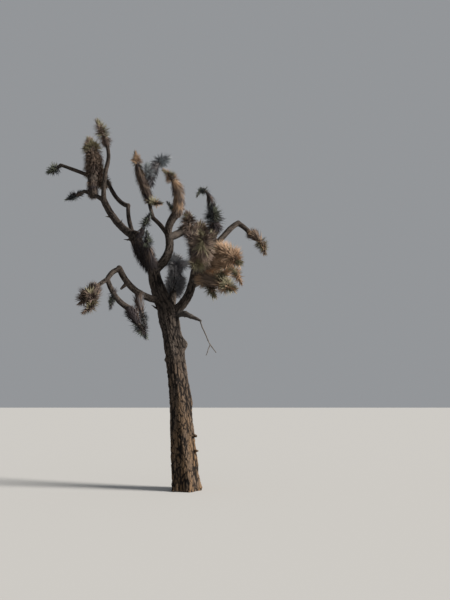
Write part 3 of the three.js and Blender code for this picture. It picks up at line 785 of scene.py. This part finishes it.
class NodeTree:
    """Adds nodes to a tree, with their settings and links in one call each."""

    def __init__(self, tree):
        self.tree = tree

    def add(self, kind, inputs=None, output=0, **settings):
        """A new node's output. A link is given as the output socket that it comes from."""
        node = self.tree.nodes.new(kind)
        for name, value in settings.items():
            setattr(node, name, value)
        for key, value in (inputs or {}).items():
            if isinstance(value, bpy.types.NodeSocket):
                self.tree.links.new(value, node.inputs[key])
            else:
                node.inputs[key].default_value = value
        return node.outputs[output] if node.outputs else None

    def math(self, operation, first, second):
        """The result of a sum on two numbers."""
        return self.add("ShaderNodeMath", {0: first, 1: second}, operation=operation)

    def vector_math(self, operation, first, second):
        """The result of a sum on two vectors."""
        return self.add("ShaderNodeVectorMath", {0: first, 1: second}, operation=operation)

    def scaled(self, vector, factor):
        """A vector times a number."""
        return self.add("ShaderNodeVectorMath", {0: vector, "Scale": factor}, operation="SCALE")

    def mix(self, factor, first, second):
        """A number between two others."""
        return self.add("ShaderNodeMix", {0: factor, 2: first, 3: second}, data_type="FLOAT")

    def mix_colour(self, factor, *colours):
        """A colour between two others, each a socket or three numbers."""
        first, second = (colour if isinstance(colour, bpy.types.NodeSocket) else (*colour, 1)
                         for colour in colours)
        return self.add("ShaderNodeMix", {0: factor, 6: first, 7: second}, 2, data_type="RGBA")

    def ramp(self, value, low, high, start=0.0, end=1.0, kind="SMOOTHSTEP"):
        """A number from start to end as value goes from low to high."""
        inputs = {0: value, 1: low, 2: high, 3: start, 4: end}
        return self.add("ShaderNodeMapRange", inputs, interpolation_type=kind)

    def noise(self, place, scale, detail, output=0):
        """Soft noise, as one number, or as three by output 1."""
        inputs = {"Vector": place, "Scale": scale, "Detail": detail}
        return self.add("ShaderNodeTexNoise", inputs, output)

    def swing(self, noise, amount):
        """Noise made to swing about nought, times an amount."""
        return self.math("MULTIPLY", self.math("SUBTRACT", noise, 0.5), amount)

    def edges(self, place, scale=1.0):
        """How far a place is from the edge of the cell that it lies in."""
        inputs = {"Vector": place, "Scale": scale}
        return self.add("ShaderNodeTexVoronoi", inputs, feature="DISTANCE_TO_EDGE")

    def part(self, vector, axis):
        """One part of a vector."""
        return self.add("ShaderNodeSeparateXYZ", {0: vector}, axis)

    def attribute(self, name, kind="FLOAT"):
        """The value of an attribute of the geometry."""
        return self.add("GeometryNodeInputNamedAttribute", {"Name": name}, data_type=kind)

    def raised(self, geometry, height):
        """A surface moved out by a height and shaded smooth."""
        offset = self.scaled(self.add("GeometryNodeInputNormal"), height)
        moved = self.add("GeometryNodeSetPosition", {0: geometry, 3: offset})
        return self.add("GeometryNodeSetShadeSmooth", {0: moved})

    def finish(self, geometry, materials):
        """Realizes the instances and deals out the materials by the tint number of each face."""
        geometry = self.add("GeometryNodeRealizeInstances", {0: geometry})
        for number, material in enumerate(materials):
            inputs = {0: geometry, 2: material}
            if len(materials) > 1:
                numbers = {0: self.attribute("tint"), 1: float(number), 2: 0.5}
                inputs[1] = self.add("ShaderNodeMath", numbers, operation="COMPARE")
            geometry = self.add("GeometryNodeSetMaterial", inputs)
        self.add("NodeGroupOutput", {0: geometry})


def geometry_tree(name, inputs):
    """A new Geometry Nodes tree with named inputs. Gives its builder and its inputs' sockets."""
    tree = bpy.data.node_groups.new(name, "GeometryNodeTree")
    for way in ("INPUT", "OUTPUT"):
        tree.interface.new_socket("Geometry", in_out=way, socket_type="NodeSocketGeometry")
    for label, kind in inputs.items():
        tree.interface.new_socket(label, in_out="INPUT", socket_type="NodeSocket" + kind)
    return NodeTree(tree), tree.nodes.new("NodeGroupInput").outputs


def apply_tree(piece, nodes, values):
    """Puts a tree on an object, with its inputs set by the identifiers of their sockets."""
    modifier = piece.modifiers.new(nodes.tree.name, "NODES")
    modifier.node_group = nodes.tree
    for item in nodes.tree.interface.items_tree:
        if item.item_type == "SOCKET" and item.in_out == "INPUT" and item.name in values:
            modifier[item.identifier] = values[item.name]


# ---- Materials ----

def new_material(name, finish):
    """A material with its node tree's builder and shader."""
    material = bpy.data.materials.new(name)
    material.use_nodes = True
    shader = material.node_tree.nodes["Principled BSDF"]
    for socket, level in zip(("Roughness", "Specular IOR Level"), finish):
        shader.inputs[socket].default_value = level
    return material, NodeTree(material.node_tree), shader


def plain_material(name, colour, finish):
    """A material of one colour."""
    material, _, shader = new_material(name, finish)
    shader.inputs["Base Color"].default_value = (*colour, 1)
    return material


def wood_places(nodes, stretch):
    """The place on the object, squeezed so that patterns run up it, and the plain height."""
    place = nodes.add("ShaderNodeTexCoord", output="Object")
    streaks = nodes.add("ShaderNodeMapping", {"Vector": place, "Scale": (1, 1, stretch)})
    return streaks, nodes.part(place, 2)


def link_shader(nodes, shader, colour, height, bump):
    """Gives a shader its colour and the bump of a height."""
    distance, strength = bump
    inputs = {"Height": height, "Distance": distance, "Strength": strength}
    nodes.tree.links.new(colour, shader.inputs["Base Color"])
    nodes.tree.links.new(nodes.add("ShaderNodeBump", inputs), shader.inputs["Normal"])


def bark_material(settings):
    """Corky plates over dark furrows, lighter and warmer at the trunk's foot as painted low sunlight,
    darker higher up as painted shade of the crown.
    """
    material, nodes, shader = new_material("bark", BARK_FINISH)
    streaks, height = wood_places(nodes, BARK_STRETCH)
    relief = nodes.add("ShaderNodeAttribute", output="Fac", attribute_name="relief")
    patches = nodes.noise(streaks, *PATCH_NOISE)
    grain = nodes.noise(streaks, *GRAIN_NOISE)
    # Painted light: the plates fade from the sunlit foot colour to the plate colour going up, painted
    # sunlight low down and painted crown shade higher up
    low = nodes.ramp(height, *SUNLIT_FOOT_FADE)
    plates = nodes.mix_colour(low, settings.sunlit_foot_colour, settings.plate_colour)
    worn = nodes.mix_colour(nodes.ramp(patches, *WORN_RAMP), plates, WORN_PLATES)
    flecked = nodes.mix_colour(nodes.ramp(grain, *FLECK_RAMP), worn, FLECKS)
    colour = nodes.mix_colour(nodes.ramp(relief, *CREST_RANGE), settings.furrow_colour, flecked)
    link_shader(nodes, shader, colour, grain, BARK_BUMP)
    return material


def twig_material():
    """Bare grey wood with fine cracks along it, under dark bark at its root."""
    material, nodes, shader = new_material("dead_twig_wood", TWIG_FINISH)
    streaks, height = wood_places(nodes, TWIG_STRETCH)
    cracks = nodes.noise(streaks, *TWIG_NOISE)
    wood, crust = (nodes.mix_colour(nodes.ramp(cracks, *NOISE_RANGE), *pair)
                   for pair in (TWIG_WOOD, TWIG_CRUST))
    colour = nodes.mix_colour(nodes.ramp(height, *CRUST_FADE), wood, crust)
    link_shader(nodes, shader, colour, cracks, TWIG_BUMP)
    return material


def stem_material():
    """The rough dark bases that leaves leave on a stem."""
    material, nodes, shader = new_material("leaf_bases", BASES_FINISH)
    place = nodes.add("ShaderNodeTexCoord", output="Object")
    scales = nodes.edges(place, SCALES_PER_METRE)
    mottle = nodes.noise(place, *MOTTLE_NOISE)
    body = nodes.mix_colour(nodes.ramp(mottle, *NOISE_RANGE), *LEAF_BASES)
    colour = nodes.mix_colour(nodes.ramp(scales, 0.0, SCALE_EDGE), BETWEEN_BASES, body)
    link_shader(nodes, shader, colour, scales, BASES_BUMP)
    return material


def leaf_materials():
    """One plain material for each tint of leaf, dead ones duller than living ones."""
    return [plain_material(name, tint, LEAF_FINISH[name.split("_")[0]])
            for name, tint in TINTS.items()]


# ---- Bark ----

def grain_of(points, shapes, settings):
    """For each point, the plate pattern's place on the two limbs nearest to it, how far the second
    one blends in, and the depth of the furrows."""
    count = len(points)
    gaps, depths = np.empty((2, len(shapes), count))
    grains = np.empty((len(shapes), count, 3))
    along = np.linspace(0, 1, GRAIN_SAMPLES)
    for index, shape in enumerate(shapes):
        centres = shape.path.point(along)
        radii = shape.radius_at(along)
        tangents = shape.path.tangent(along)
        first, second = shape.path.sides(along)
        for part in chunks(count):
            apart = points[part, None] - centres[None]
            nearest = (apart ** 2).sum(-1).argmin(1)
            offset = apart[np.arange(len(nearest)), nearest]
            run = (offset * tangents[nearest]).sum(-1) + along[nearest] * shape.path.length
            radius = radii[nearest]
            plate = np.clip(radius * PLATE_SHARE, LEAST_PLATE, settings.plate_size)
            gaps[index, part] = np.linalg.norm(offset, axis=-1) - radius
            for axis, across in enumerate((first, second)):
                grains[index, part, axis] = (offset * across[nearest]).sum(-1) / plate
            grains[index, part, 2] = run / (plate.mean() * GRAIN_STRETCH)
            depth = radius * settings.furrow_depth
            depths[index, part] = np.clip(depth, LEAST_FURROW, settings.deepest_furrow)
        grains[index] += GRAIN_SHIFT * index
    own, other = gaps.argsort(axis=0)[:2]
    rows = np.arange(count)
    blend = 0.5 * (1 - smoothstep(gaps[other, rows] - gaps[own, rows], 0, FORK_BLEND))
    depth = lerp(depths[own, rows], depths[other, rows], blend)
    return grains[own, rows], grains[other, rows], blend, depth


def plate_relief(nodes, attribute, amount):
    """The height of the plates, with their cracks and ridges, by the places in an attribute."""
    grain = nodes.attribute(attribute, "FLOAT_VECTOR")
    noise = nodes.noise(grain, *WOBBLE_NOISE, 1)
    wobble = nodes.scaled(nodes.vector_math("SUBTRACT", noise, (0.5, 0.5, 0.5)), amount)
    bent = nodes.vector_math("ADD", grain, wobble)
    cell = nodes.add("ShaderNodeTexVoronoi", {"Vector": bent, "Scale": 1.0}, 1)
    crack = nodes.edges(nodes.vector_math("MULTIPLY", bent, CRACK_STRETCH))
    width = nodes.ramp(nodes.noise(grain, *WIDTH_NOISE), *NOISE_RANGE, *FURROW_WIDTH)
    plate = nodes.ramp(nodes.edges(bent), 0.0, width)
    block = nodes.ramp(crack, 0.0, CRACK_WIDTH, CRACK_FLOOR, 1.0)
    step = nodes.math("MULTIPLY", plate, nodes.ramp(nodes.part(cell, 0), 0, 1, *PLATE_LIFT, "LINEAR"))
    ridge = nodes.noise(nodes.vector_math("MULTIPLY", grain, RIDGE_STRETCH), *RIDGE_NOISE)
    ridge = nodes.ramp(ridge, *RIDGE_RANGE, *RIDGE_HEIGHT)
    return nodes.math("ADD", nodes.math("MULTIPLY", step, block), ridge)


def bark_tree(material):
    """Cuts furrows between the plates of the bark, and smooths the forks first."""
    nodes, source = geometry_tree("Bark relief", {
        "Fork smoothing": "Int", "Wobble": "Float", "Lumps": "Float", "Roughness": "Float"})
    place = nodes.add("GeometryNodeInputPosition")
    inputs = {"Value": place, "Iterations": source["Fork smoothing"]}
    softened = nodes.add("GeometryNodeBlurAttribute", inputs, data_type="FLOAT_VECTOR")
    geometry = nodes.add("GeometryNodeSetPosition", {0: source["Geometry"], 2: softened})
    own, other = (plate_relief(nodes, name, source["Wobble"]) for name in ("grain", "other_grain"))
    relief = nodes.mix(nodes.attribute("fork_blend"), own, other)
    height = nodes.math("SUBTRACT", relief, MEAN_RELIEF)
    for noise, amount in ((LUMP_NOISE, "Lumps"), (ROUGH_NOISE, "Roughness")):
        height = nodes.math("ADD", height, nodes.swing(nodes.noise(place, *noise), source[amount]))
    inputs = {0: geometry, "Name": "relief", "Value": relief}
    stored = nodes.add("GeometryNodeStoreNamedAttribute", inputs, data_type="FLOAT", domain="POINT")
    depth = nodes.attribute("furrow_depth")
    nodes.finish(nodes.raised(stored, nodes.math("MULTIPLY", height, depth)), [material])
    return nodes


def bark_piece(name, limbs, voxel, material, settings):
    """The bark of a group of limbs as one closed mesh, which replaces their solids."""
    shapes = [SHAPES.limbs[limb] for limb in limbs]
    spurs = [spur_shape(spur) for spur in SPURS if spur.limb in limbs]
    rough = joined_tubes(name + "_tubes", shapes + spurs)
    remesh = rough.modifiers.new("Join", "REMESH")
    remesh.mode = "VOXEL"
    remesh.voxel_size = voxel
    whole = settled(rough, name + "_whole")
    points = points_of(whole.data)
    labels = ("grain", "other_grain", "fork_blend", "furrow_depth")
    marks = dict(zip(labels, grain_of(points, shapes, settings)))
    marks["furrow_depth"] *= smoothstep(points[:, 2], 0, CALM_FOOT)
    for label, values in marks.items():
        add_attribute(whole.data, label, values)
    apply_tree(whole, bark_tree(material), {"Fork smoothing": FORK_SMOOTHING, "Wobble": PLATE_WOBBLE,
                                            "Lumps": settings.lumps, "Roughness": BARK_ROUGHNESS})
    bark = settled(whole, name)
    for label in labels:
        bark.data.attributes.remove(bark.data.attributes[label])
    seated = points_of(bark.data)
    seated[:, 2] = np.where(seated[:, 2] < FOOT_SEAT, 0, seated[:, 2])
    bark.data.vertices.foreach_set("co", seated.astype(np.float32).ravel())
    bark.data.update()
    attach(bark, GROUND_BODY)
    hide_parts(*limbs)


# ---- Stems and the dead twig ----

def stem_tree(name, material, seed):
    """Tubes with a rough skin round curves of any radius."""
    nodes, source = geometry_tree(name, {"Sides": "Int", "Skin depth": "Float", "Skin scale": "Float"})
    ring = nodes.add("GeometryNodeCurvePrimitiveCircle", {"Resolution": source["Sides"], "Radius": 1.0})
    radius = nodes.add("GeometryNodeInputRadius")
    tubes = nodes.add("GeometryNodeCurveToMesh", {0: source["Geometry"], 1: ring, 2: radius, 3: True})
    place = nodes.vector_math("ADD", nodes.add("GeometryNodeInputPosition"), (seed, 0, 0))
    skin = nodes.noise(place, source["Skin scale"], SKIN_DETAIL)
    depth = nodes.swing(skin, source["Skin depth"])
    nodes.finish(nodes.raised(tubes, depth), [material])
    return nodes


def curve_object(name, strands):
    """A curve object with one strand for each list of points and radii."""
    curve = bpy.data.curves.new(name, "CURVE")
    curve.dimensions = "3D"
    for points, radii in strands:
        spline = curve.splines.new("POLY")
        spline.points.add(len(points) - 1)
        flat = np.concatenate([points, np.ones((len(points), 1))], axis=1)
        spline.points.foreach_set("co", flat.ravel())
        spline.points.foreach_set("radius", radii)
    return put_in_scene(name, curve)


def stem_strand(stem, bare, core):
    """The points and radii of a head's stem: a bare neck, and a thinner core under the leaves."""
    count = max(6, round(stem.path.length / STEM_STEP))
    along = np.linspace(0, STEM_END, count + 1)
    skinny = lerp(1, core, smoothstep(along, bare, bare + CORE_RISE))
    taper = 1 - CORE_TAPER * smoothstep(along, CORE_TAPER_FROM, 1)
    return stem.path.point(along), stem.radius_at(along) * skinny * taper


def twig_strand(shape, seed, wiggle):
    """The points and radii of a crooked bare twig, whose waves die out at both its ends."""
    count = max(8, round(shape.path.length / TWIG_STEP))
    along = np.linspace(0, 1, count + 1)
    first, second = shape.path.sides(along)
    fade = np.sin(along * math.pi)
    slow, fast = (np.sin(along * waves + turn * seed) for turn, waves in enumerate(SWAY_WAVES, 1))
    sway = slow * fast * fade
    swing = np.cos(along * SWING_WAVES + 3 * seed) * fade
    offset = first * sway[:, None] + second * SWING_SHARE * swing[:, None]
    points = shape.path.point(along) + wiggle * offset
    knots = 1 + KNOT_GIRTH * np.maximum(0, np.sin(along * KNOTS + seed)) ** KNOT_SHARPNESS
    return points, shape.radius_at(along) * knots


# ---- Leaves ----

def leaf_blade(name, arch):
    """One leaf of unit size along Z: a keeled blade with a closed foot and a sharp point."""
    points = []
    for height, width, bow in BLADE_RINGS:
        lean = arch * bow
        points += [(-width / 2, lean, height), (width / 2, lean, height), (0, lean - width, height)]
    points.append((0, arch, 1))
    faces = [(0, 1, 2), (3, 6, 4), (4, 6, 5), (5, 6, 3)]
    for a, b in ((0, 1), (1, 2), (2, 0)):
        faces += [(a, a + 3, b + 3), (a, b + 3, b)]
    blade = mesh_object(name, points, faces)
    shape = bmesh.new()
    shape.from_mesh(blade.data)
    bmesh.ops.recalc_face_normals(shape, faces=shape.faces)
    shape.to_mesh(blade.data)
    shape.free()
    return blade


def leaf_tree(materials, seed):
    """Sets a leaf on every point, turned along its own direction, and realizes them all."""
    nodes, source = geometry_tree("Leaf sprays", {
        "Leaf": "Object", "Leaf width": "Float", "Leaf thickness": "Float", "Width spread": "Float"})
    blade = nodes.add("GeometryNodeObjectInfo", {0: source["Leaf"]}, "Geometry")
    upright = nodes.add("FunctionNodeAlignRotationToVector",
                        {2: nodes.attribute("direction", "FLOAT_VECTOR")}, axis="Z")
    turned = nodes.add("FunctionNodeAlignRotationToVector",
                       {0: upright, 2: nodes.attribute("side", "FLOAT_VECTOR")}, axis="X", pivot_axis="Z")
    slimmest = nodes.math("SUBTRACT", 1.0, source["Width spread"])
    widest = nodes.math("ADD", 1.0, source["Width spread"])
    girth = nodes.add("FunctionNodeRandomValue", {2: slimmest, 3: widest, 8: seed}, 1, data_type="FLOAT")
    width = nodes.math("MULTIPLY", girth, source["Leaf width"])
    thick = nodes.math("MULTIPLY", girth, source["Leaf thickness"])
    size = nodes.add("ShaderNodeCombineXYZ", {0: width, 1: thick, 2: nodes.attribute("leaf_length")})
    inputs = {0: source["Geometry"], 2: blade, 5: turned, 6: size}
    nodes.finish(nodes.add("GeometryNodeInstanceOnPoints", inputs), materials)
    return nodes


def spray_tints(seed, along_length, bearing, palette):
    """The tint number of each leaf, one for each spray: a short stretch of stem on one side."""
    band = np.floor(along_length / SPRAY_HEIGHT)
    sector = np.floor(np.mod(bearing, 2 * math.pi) / (2 * math.pi) * SPRAY_SECTORS)
    pick = chance(seed + SPRAY_STRIDES[0] * band + SPRAY_STRIDES[1] * sector)
    numbers = np.array([TINT_NAMES.index(name) for name in palette])
    return numbers[np.minimum((pick * len(numbers)).astype(int), len(numbers) - 1)]


def club_leaves(stem, reach, bare, palette, settings, seed, live_reach):
    """The leaves of one club as a column for each of LEAF_FIELDS, and which of them live."""
    length = stem.path.length
    outline = stem.radius_at(np.linspace(bare, 1, OUTLINE_SAMPLES)) + OUTLINE_REACH * reach
    area = 2 * math.pi * outline.mean() * length * (1 - bare)
    count = int(area * settings.density)
    number = np.arange(count)

    def draw(offset, stride=1):
        return chance(seed + offset + number * stride)

    along = lerp(bare, 1.0, ((number + 0.5) / count) ** CROWDING)
    from_tip = (1 - along) * length
    bearing = np.radians(GOLDEN_ANGLE * number + BEARING_MESS * draw(0))
    is_live = from_tip < live_reach * lerp(*LIVE_SPREAD, draw(0.37, 1.7))
    radius = stem.radius_at(along)
    core = radius * settings.core * ROOT_DEPTH
    loose = lerp(*LOOSE, draw(0.11, 1.3) ** LOOSE_CROWDING) * reach

    live_tilt = lerp(*LIVE_TILT, smoothstep(from_tip, TILT_FROM, TILT_UNTIL * live_reach))
    live_tilt = np.radians(np.clip(live_tilt + LIVE_MESS * (draw(0.5) - 0.5), *LIVE_TILT_LIMITS))
    seat = radius * lerp(*LIVE_SEAT, smoothstep(from_tip, 0, SEAT_UNTIL * live_reach))
    outward = seat + loose * np.sin(live_tilt)
    live_span = np.clip((outward - core) / np.sin(live_tilt), LEAST_LEAF, settings.longest)
    live_root = outward - live_span * np.sin(live_tilt)
    live_forward = loose * np.cos(live_tilt) - live_span * np.cos(live_tilt)

    outward = radius * DEAD_SEAT + DEAD_LOOSE * loose
    dead_span = settings.longest * lerp(*DEAD_SPAN, draw(0.25))
    dead_span *= lerp(SHORT_AT_NECK, 1, smoothstep((along - bare) * length, 0, NECK_REACH))
    lean = np.degrees(np.arcsin(np.clip((outward - core) / dead_span, LEAST_LEAN, 1)))
    messy = DEAD_MESS * (draw(0.83) - 0.5)
    dead_tilt = np.radians(np.clip(180 - lean + messy, *DEAD_TILT))

    tilt = np.where(is_live, live_tilt, dead_tilt)[:, None]
    tangent, normal, binormal = frame_at(stem.path, along)
    out = normal * np.cos(bearing)[:, None] + binormal * np.sin(bearing)[:, None]
    root = stem.path.point(along) + out * np.where(is_live, live_root, core)[:, None]
    root += tangent * np.where(is_live, live_forward, 0)[:, None]
    direction = tangent * np.cos(tilt) + out * np.sin(tilt)
    side = np.cross(tangent, out) + LEAF_TWIST * (draw(0.61) - 0.5)[:, None] * tangent
    span = np.where(is_live, live_span, dead_span)
    dead_tints, live_tints = (spray_tints(seed + shift, along * length, bearing, tints)
                              for shift, tints in zip((0, 5), palette))
    tint = np.where(is_live, live_tints, dead_tints)
    return dict(zip(LEAF_FIELDS, (root, direction, side, span, tint))), is_live


def stays_clear(leaves):
    """Which leaves keep their points out of the limbs."""
    tips = leaves["root"] + leaves["direction"] * leaves["leaf_length"][:, None]
    clear = np.ones(len(tips), bool)
    along = np.linspace(0, 1, CLEAR_SAMPLES)
    for shape in SHAPES.limbs.values():
        centres = shape.path.point(along)
        radii = shape.radius_at(along)
        for part in chunks(len(tips)):
            gaps = np.linalg.norm(tips[part, None] - centres[None], axis=-1) - radii[None]
            clear[part] &= gaps.min(1) > 0
    return clear


def gather_leaves(heads, first_order, settings):
    """All leaves of some heads, living and dead ones apart."""
    living, dead = [], []
    for order, head in enumerate(heads, first_order):
        for number, stem in enumerate(SHAPES.clubs[head.name]):
            bare = head.bare if number == 0 else ARM_BARE
            leaves, is_live = club_leaves(stem, head.length * MILLIMETRE, bare, PALETTES[head.palette],
                                          settings, 100 * order + 40 * number, LIVE_REACH)
            clear = stays_clear(leaves)
            for rows, kept in ((living, clear & is_live), (dead, clear & ~is_live)):
                rows.append({field: values[kept] for field, values in leaves.items()})
    return living, dead


def sheath_club(name, girth):
    """A bough as a club of leaf bases that swells in its middle."""
    limb = SHAPES.limbs[name]
    swell = next(row.swell for row in LIMBS if row.name == name) * MILLIMETRE

    def radius_at(along):
        return limb.radius_at(along) * girth + swell * np.sin(math.pi * along)

    return Shape(name, limb.path, radius_at, limb.end)


def sheath_leaves(settings):
    """The dead leaves that cling to three boughs."""
    return [club_leaves(sheath_club(name, girth), SHEATH_REACH, 0, PALETTES[palette], settings,
                        SHEATH_SEED + 50 * order, SHEATH_LIVE_REACH)[0]
            for order, (name, palette, girth) in enumerate(SHEATHS)]


def leaf_piece(name, rows, blade, materials, settings, seed):
    """Leaves joined into one mesh that rides with the tree."""
    leaves = {field: np.concatenate([row[field] for row in rows]) for field in LEAF_FIELDS}
    points = mesh_object(name + "_roots", leaves.pop("root"))
    for field, values in leaves.items():
        add_attribute(points.data, field, values)
    apply_tree(points, leaf_tree(materials, seed), {
        "Leaf": blade, "Leaf width": settings.width, "Leaf thickness": settings.thickness,
        "Width spread": WIDTH_SPREAD})
    piece = settled(points, name)
    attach(piece, GROUND_BODY)
    return piece


# ---- Operators ----

class JOSHUA_OT_bark(bpy.types.Operator):
    """Makes the furrowed bark of the trunk and all boughs"""
    bl_idname = "joshua.bark"
    bl_label = "Bark"

    def execute(self, context):
        settings = context.scene.joshua_bark
        material = bark_material(settings)
        names = [limb.name for limb in MAIN_LIMBS]
        bark_piece("bark_trunk", ["trunk", *names], settings.trunk_voxel, material, settings)
        for name, limbs in (("bark_left_boughs", LEFT_LIMBS), ("bark_right_boughs", RIGHT_LIMBS)):
            bark_piece(name, [limb.name for limb in limbs], settings.bough_voxel, material, settings)
        return {"FINISHED"}


class JOSHUA_OT_dead_twig(bpy.types.Operator):
    """Makes the bare dead twig that hangs from the fork"""
    bl_idname = "joshua.dead_twig"
    bl_label = "Dead Twig"

    def execute(self, context):
        strands = [twig_strand(SHAPES.limbs[name], seed, wiggle)
                   for seed, (name, wiggle) in enumerate(TWIG_WIGGLES.items(), 1)]
        curve = curve_object("dead_twig_line", strands)
        apply_tree(curve, stem_tree("Dead twig", twig_material(), 3.0), TWIG_SKIN)
        twig = settled(curve, "dead_twig")
        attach(twig, GROUND_BODY)
        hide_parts("dead_twig_upper", "dead_twig_lower")
        return {"FINISHED"}


class JOSHUA_OT_stems(bpy.types.Operator):
    """Makes the stems inside the heads of leaves"""
    bl_idname = "joshua.stems"
    bl_label = "Head Stems"

    def execute(self, context):
        core = context.scene.joshua_leaves.core
        strands = [stem_strand(stem, head.bare if number == 0 else 0, core)
                   for head in HEADS for number, stem in enumerate(SHAPES.clubs[head.name])]
        curve = curve_object("head_stem_lines", strands)
        apply_tree(curve, stem_tree("Head stems", stem_material(), 11.0), STEM_SKIN)
        stems = settled(curve, "head_stems")
        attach(stems, GROUND_BODY)
        return {"FINISHED"}


class JOSHUA_OT_leaves(bpy.types.Operator):
    """Makes the living rosettes and the dead skirts of all heads"""
    bl_idname = "joshua.leaves"
    bl_label = "Leaves"

    def execute(self, context):
        settings = context.scene.joshua_leaves
        materials = leaf_materials()
        fresh = leaf_blade("fresh_blade", FRESH_ARCH)
        dry = leaf_blade("dry_blade", DRY_ARCH)
        groups = (("left", HEADS[:LEFT_HEADS_END], 0),
                  ("right", HEADS[LEFT_HEADS_END:], LEFT_HEADS_END))
        for seed, (side, heads, first_order) in enumerate(groups):
            living, dead = gather_leaves(heads, first_order, settings)
            piece = leaf_piece(f"living_leaves_{side}", living, fresh, materials, settings, seed)
            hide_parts(*(head.name for head in heads))
            leaf_piece(f"dead_leaves_{side}", dead, dry, materials, settings, seed + 10)
        leaf_piece("bough_sheaths", sheath_leaves(settings), dry, materials, settings, 30)
        for blade in (fresh, dry):
            bpy.data.objects.remove(blade)
        return {"FINISHED"}


class JOSHUA_OT_stage(bpy.types.Operator):
    """Makes the floor, the plain backdrop, the soft light and the camera"""
    bl_idname = "joshua.stage"
    bl_label = "Stage"

    def execute(self, context):
        settings = context.scene.joshua_stage
        scene = context.scene
        floor = mesh_object("floor", FLOOR_CORNERS, [(0, 1, 2, 3)])
        floor.data.materials.append(plain_material("floor", settings.floor_colour, FLOOR_FINISH))

        world = bpy.data.worlds.new("backdrop")
        world.use_nodes = True
        backdrop = world.node_tree.nodes["Background"]
        backdrop.inputs["Color"].default_value = (*settings.sky_colour, 1)
        backdrop.inputs["Strength"].default_value = settings.fill
        scene.world = world

        key = bpy.data.lights.new("key", "SUN")
        key.energy = settings.key
        key.angle = settings.softness
        key.color = KEY_COLOUR
        lamp = put_in_scene("key", key)
        lamp.rotation_euler = Vector(KEY_FROM).to_track_quat("Z", "Y").to_euler()

        camera = put_in_scene("camera", bpy.data.cameras.new("camera"))
        camera.data.sensor_fit = "VERTICAL"
        camera.data.sensor_height = CAMERA_FILM
        camera.data.lens = CAMERA_LENS
        camera.location = CAMERA_PLACE
        camera.rotation_euler = (math.radians(90 + CAMERA_TILT), 0, 0)
        scene.camera = camera
        scene.view_settings.view_transform = "Standard"
        return {"FINISHED"}


# The panel's boxes: title, the name that the settings have on the scene, their group, and operators
BOXES = (
    ("Bark", "joshua_bark", BarkSettings, (JOSHUA_OT_bark, JOSHUA_OT_dead_twig, JOSHUA_OT_stems)),
    ("Leaves", "joshua_leaves", LeafSettings, (JOSHUA_OT_leaves,)),
    ("Stage", "joshua_stage", StageSettings, (JOSHUA_OT_stage,)),
)


class JOSHUA_PT_panel(bpy.types.Panel):
    """Lists the settings and the pieces of the tree"""
    bl_idname = "JOSHUA_PT_panel"
    bl_label = "Joshua Tree"
    bl_space_type = "VIEW_3D"
    bl_region_type = "UI"
    bl_category = "Joshua Tree"

    def draw(self, context):
        for title, name, group, operators in BOXES:
            box = self.layout.box()
            box.label(text=title)
            for setting in group.__annotations__:
                box.prop(getattr(context.scene, name), setting)
            for operator in operators:
                box.operator(operator.bl_idname)


def register():
    """Registers the settings, the operators and the panel."""
    for _, name, group, operators in BOXES:
        for kind in (group, *operators):
            bpy.utils.register_class(kind)
        setattr(bpy.types.Scene, name, PointerProperty(type=group))
    bpy.utils.register_class(JOSHUA_PT_panel)


def unregister():
    """Takes them all out again."""
    bpy.utils.unregister_class(JOSHUA_PT_panel)
    for _, name, group, operators in BOXES:
        delattr(bpy.types.Scene, name)
        for kind in (*operators, group):
            bpy.utils.unregister_class(kind)


def main():
    """Registers the add-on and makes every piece."""
    register()
    bpy.ops.joshua.bark()
    bpy.ops.joshua.dead_twig()
    bpy.ops.joshua.stems()
    bpy.ops.joshua.leaves()
    bpy.ops.joshua.stage()


if __name__ == "__main__":
    main()
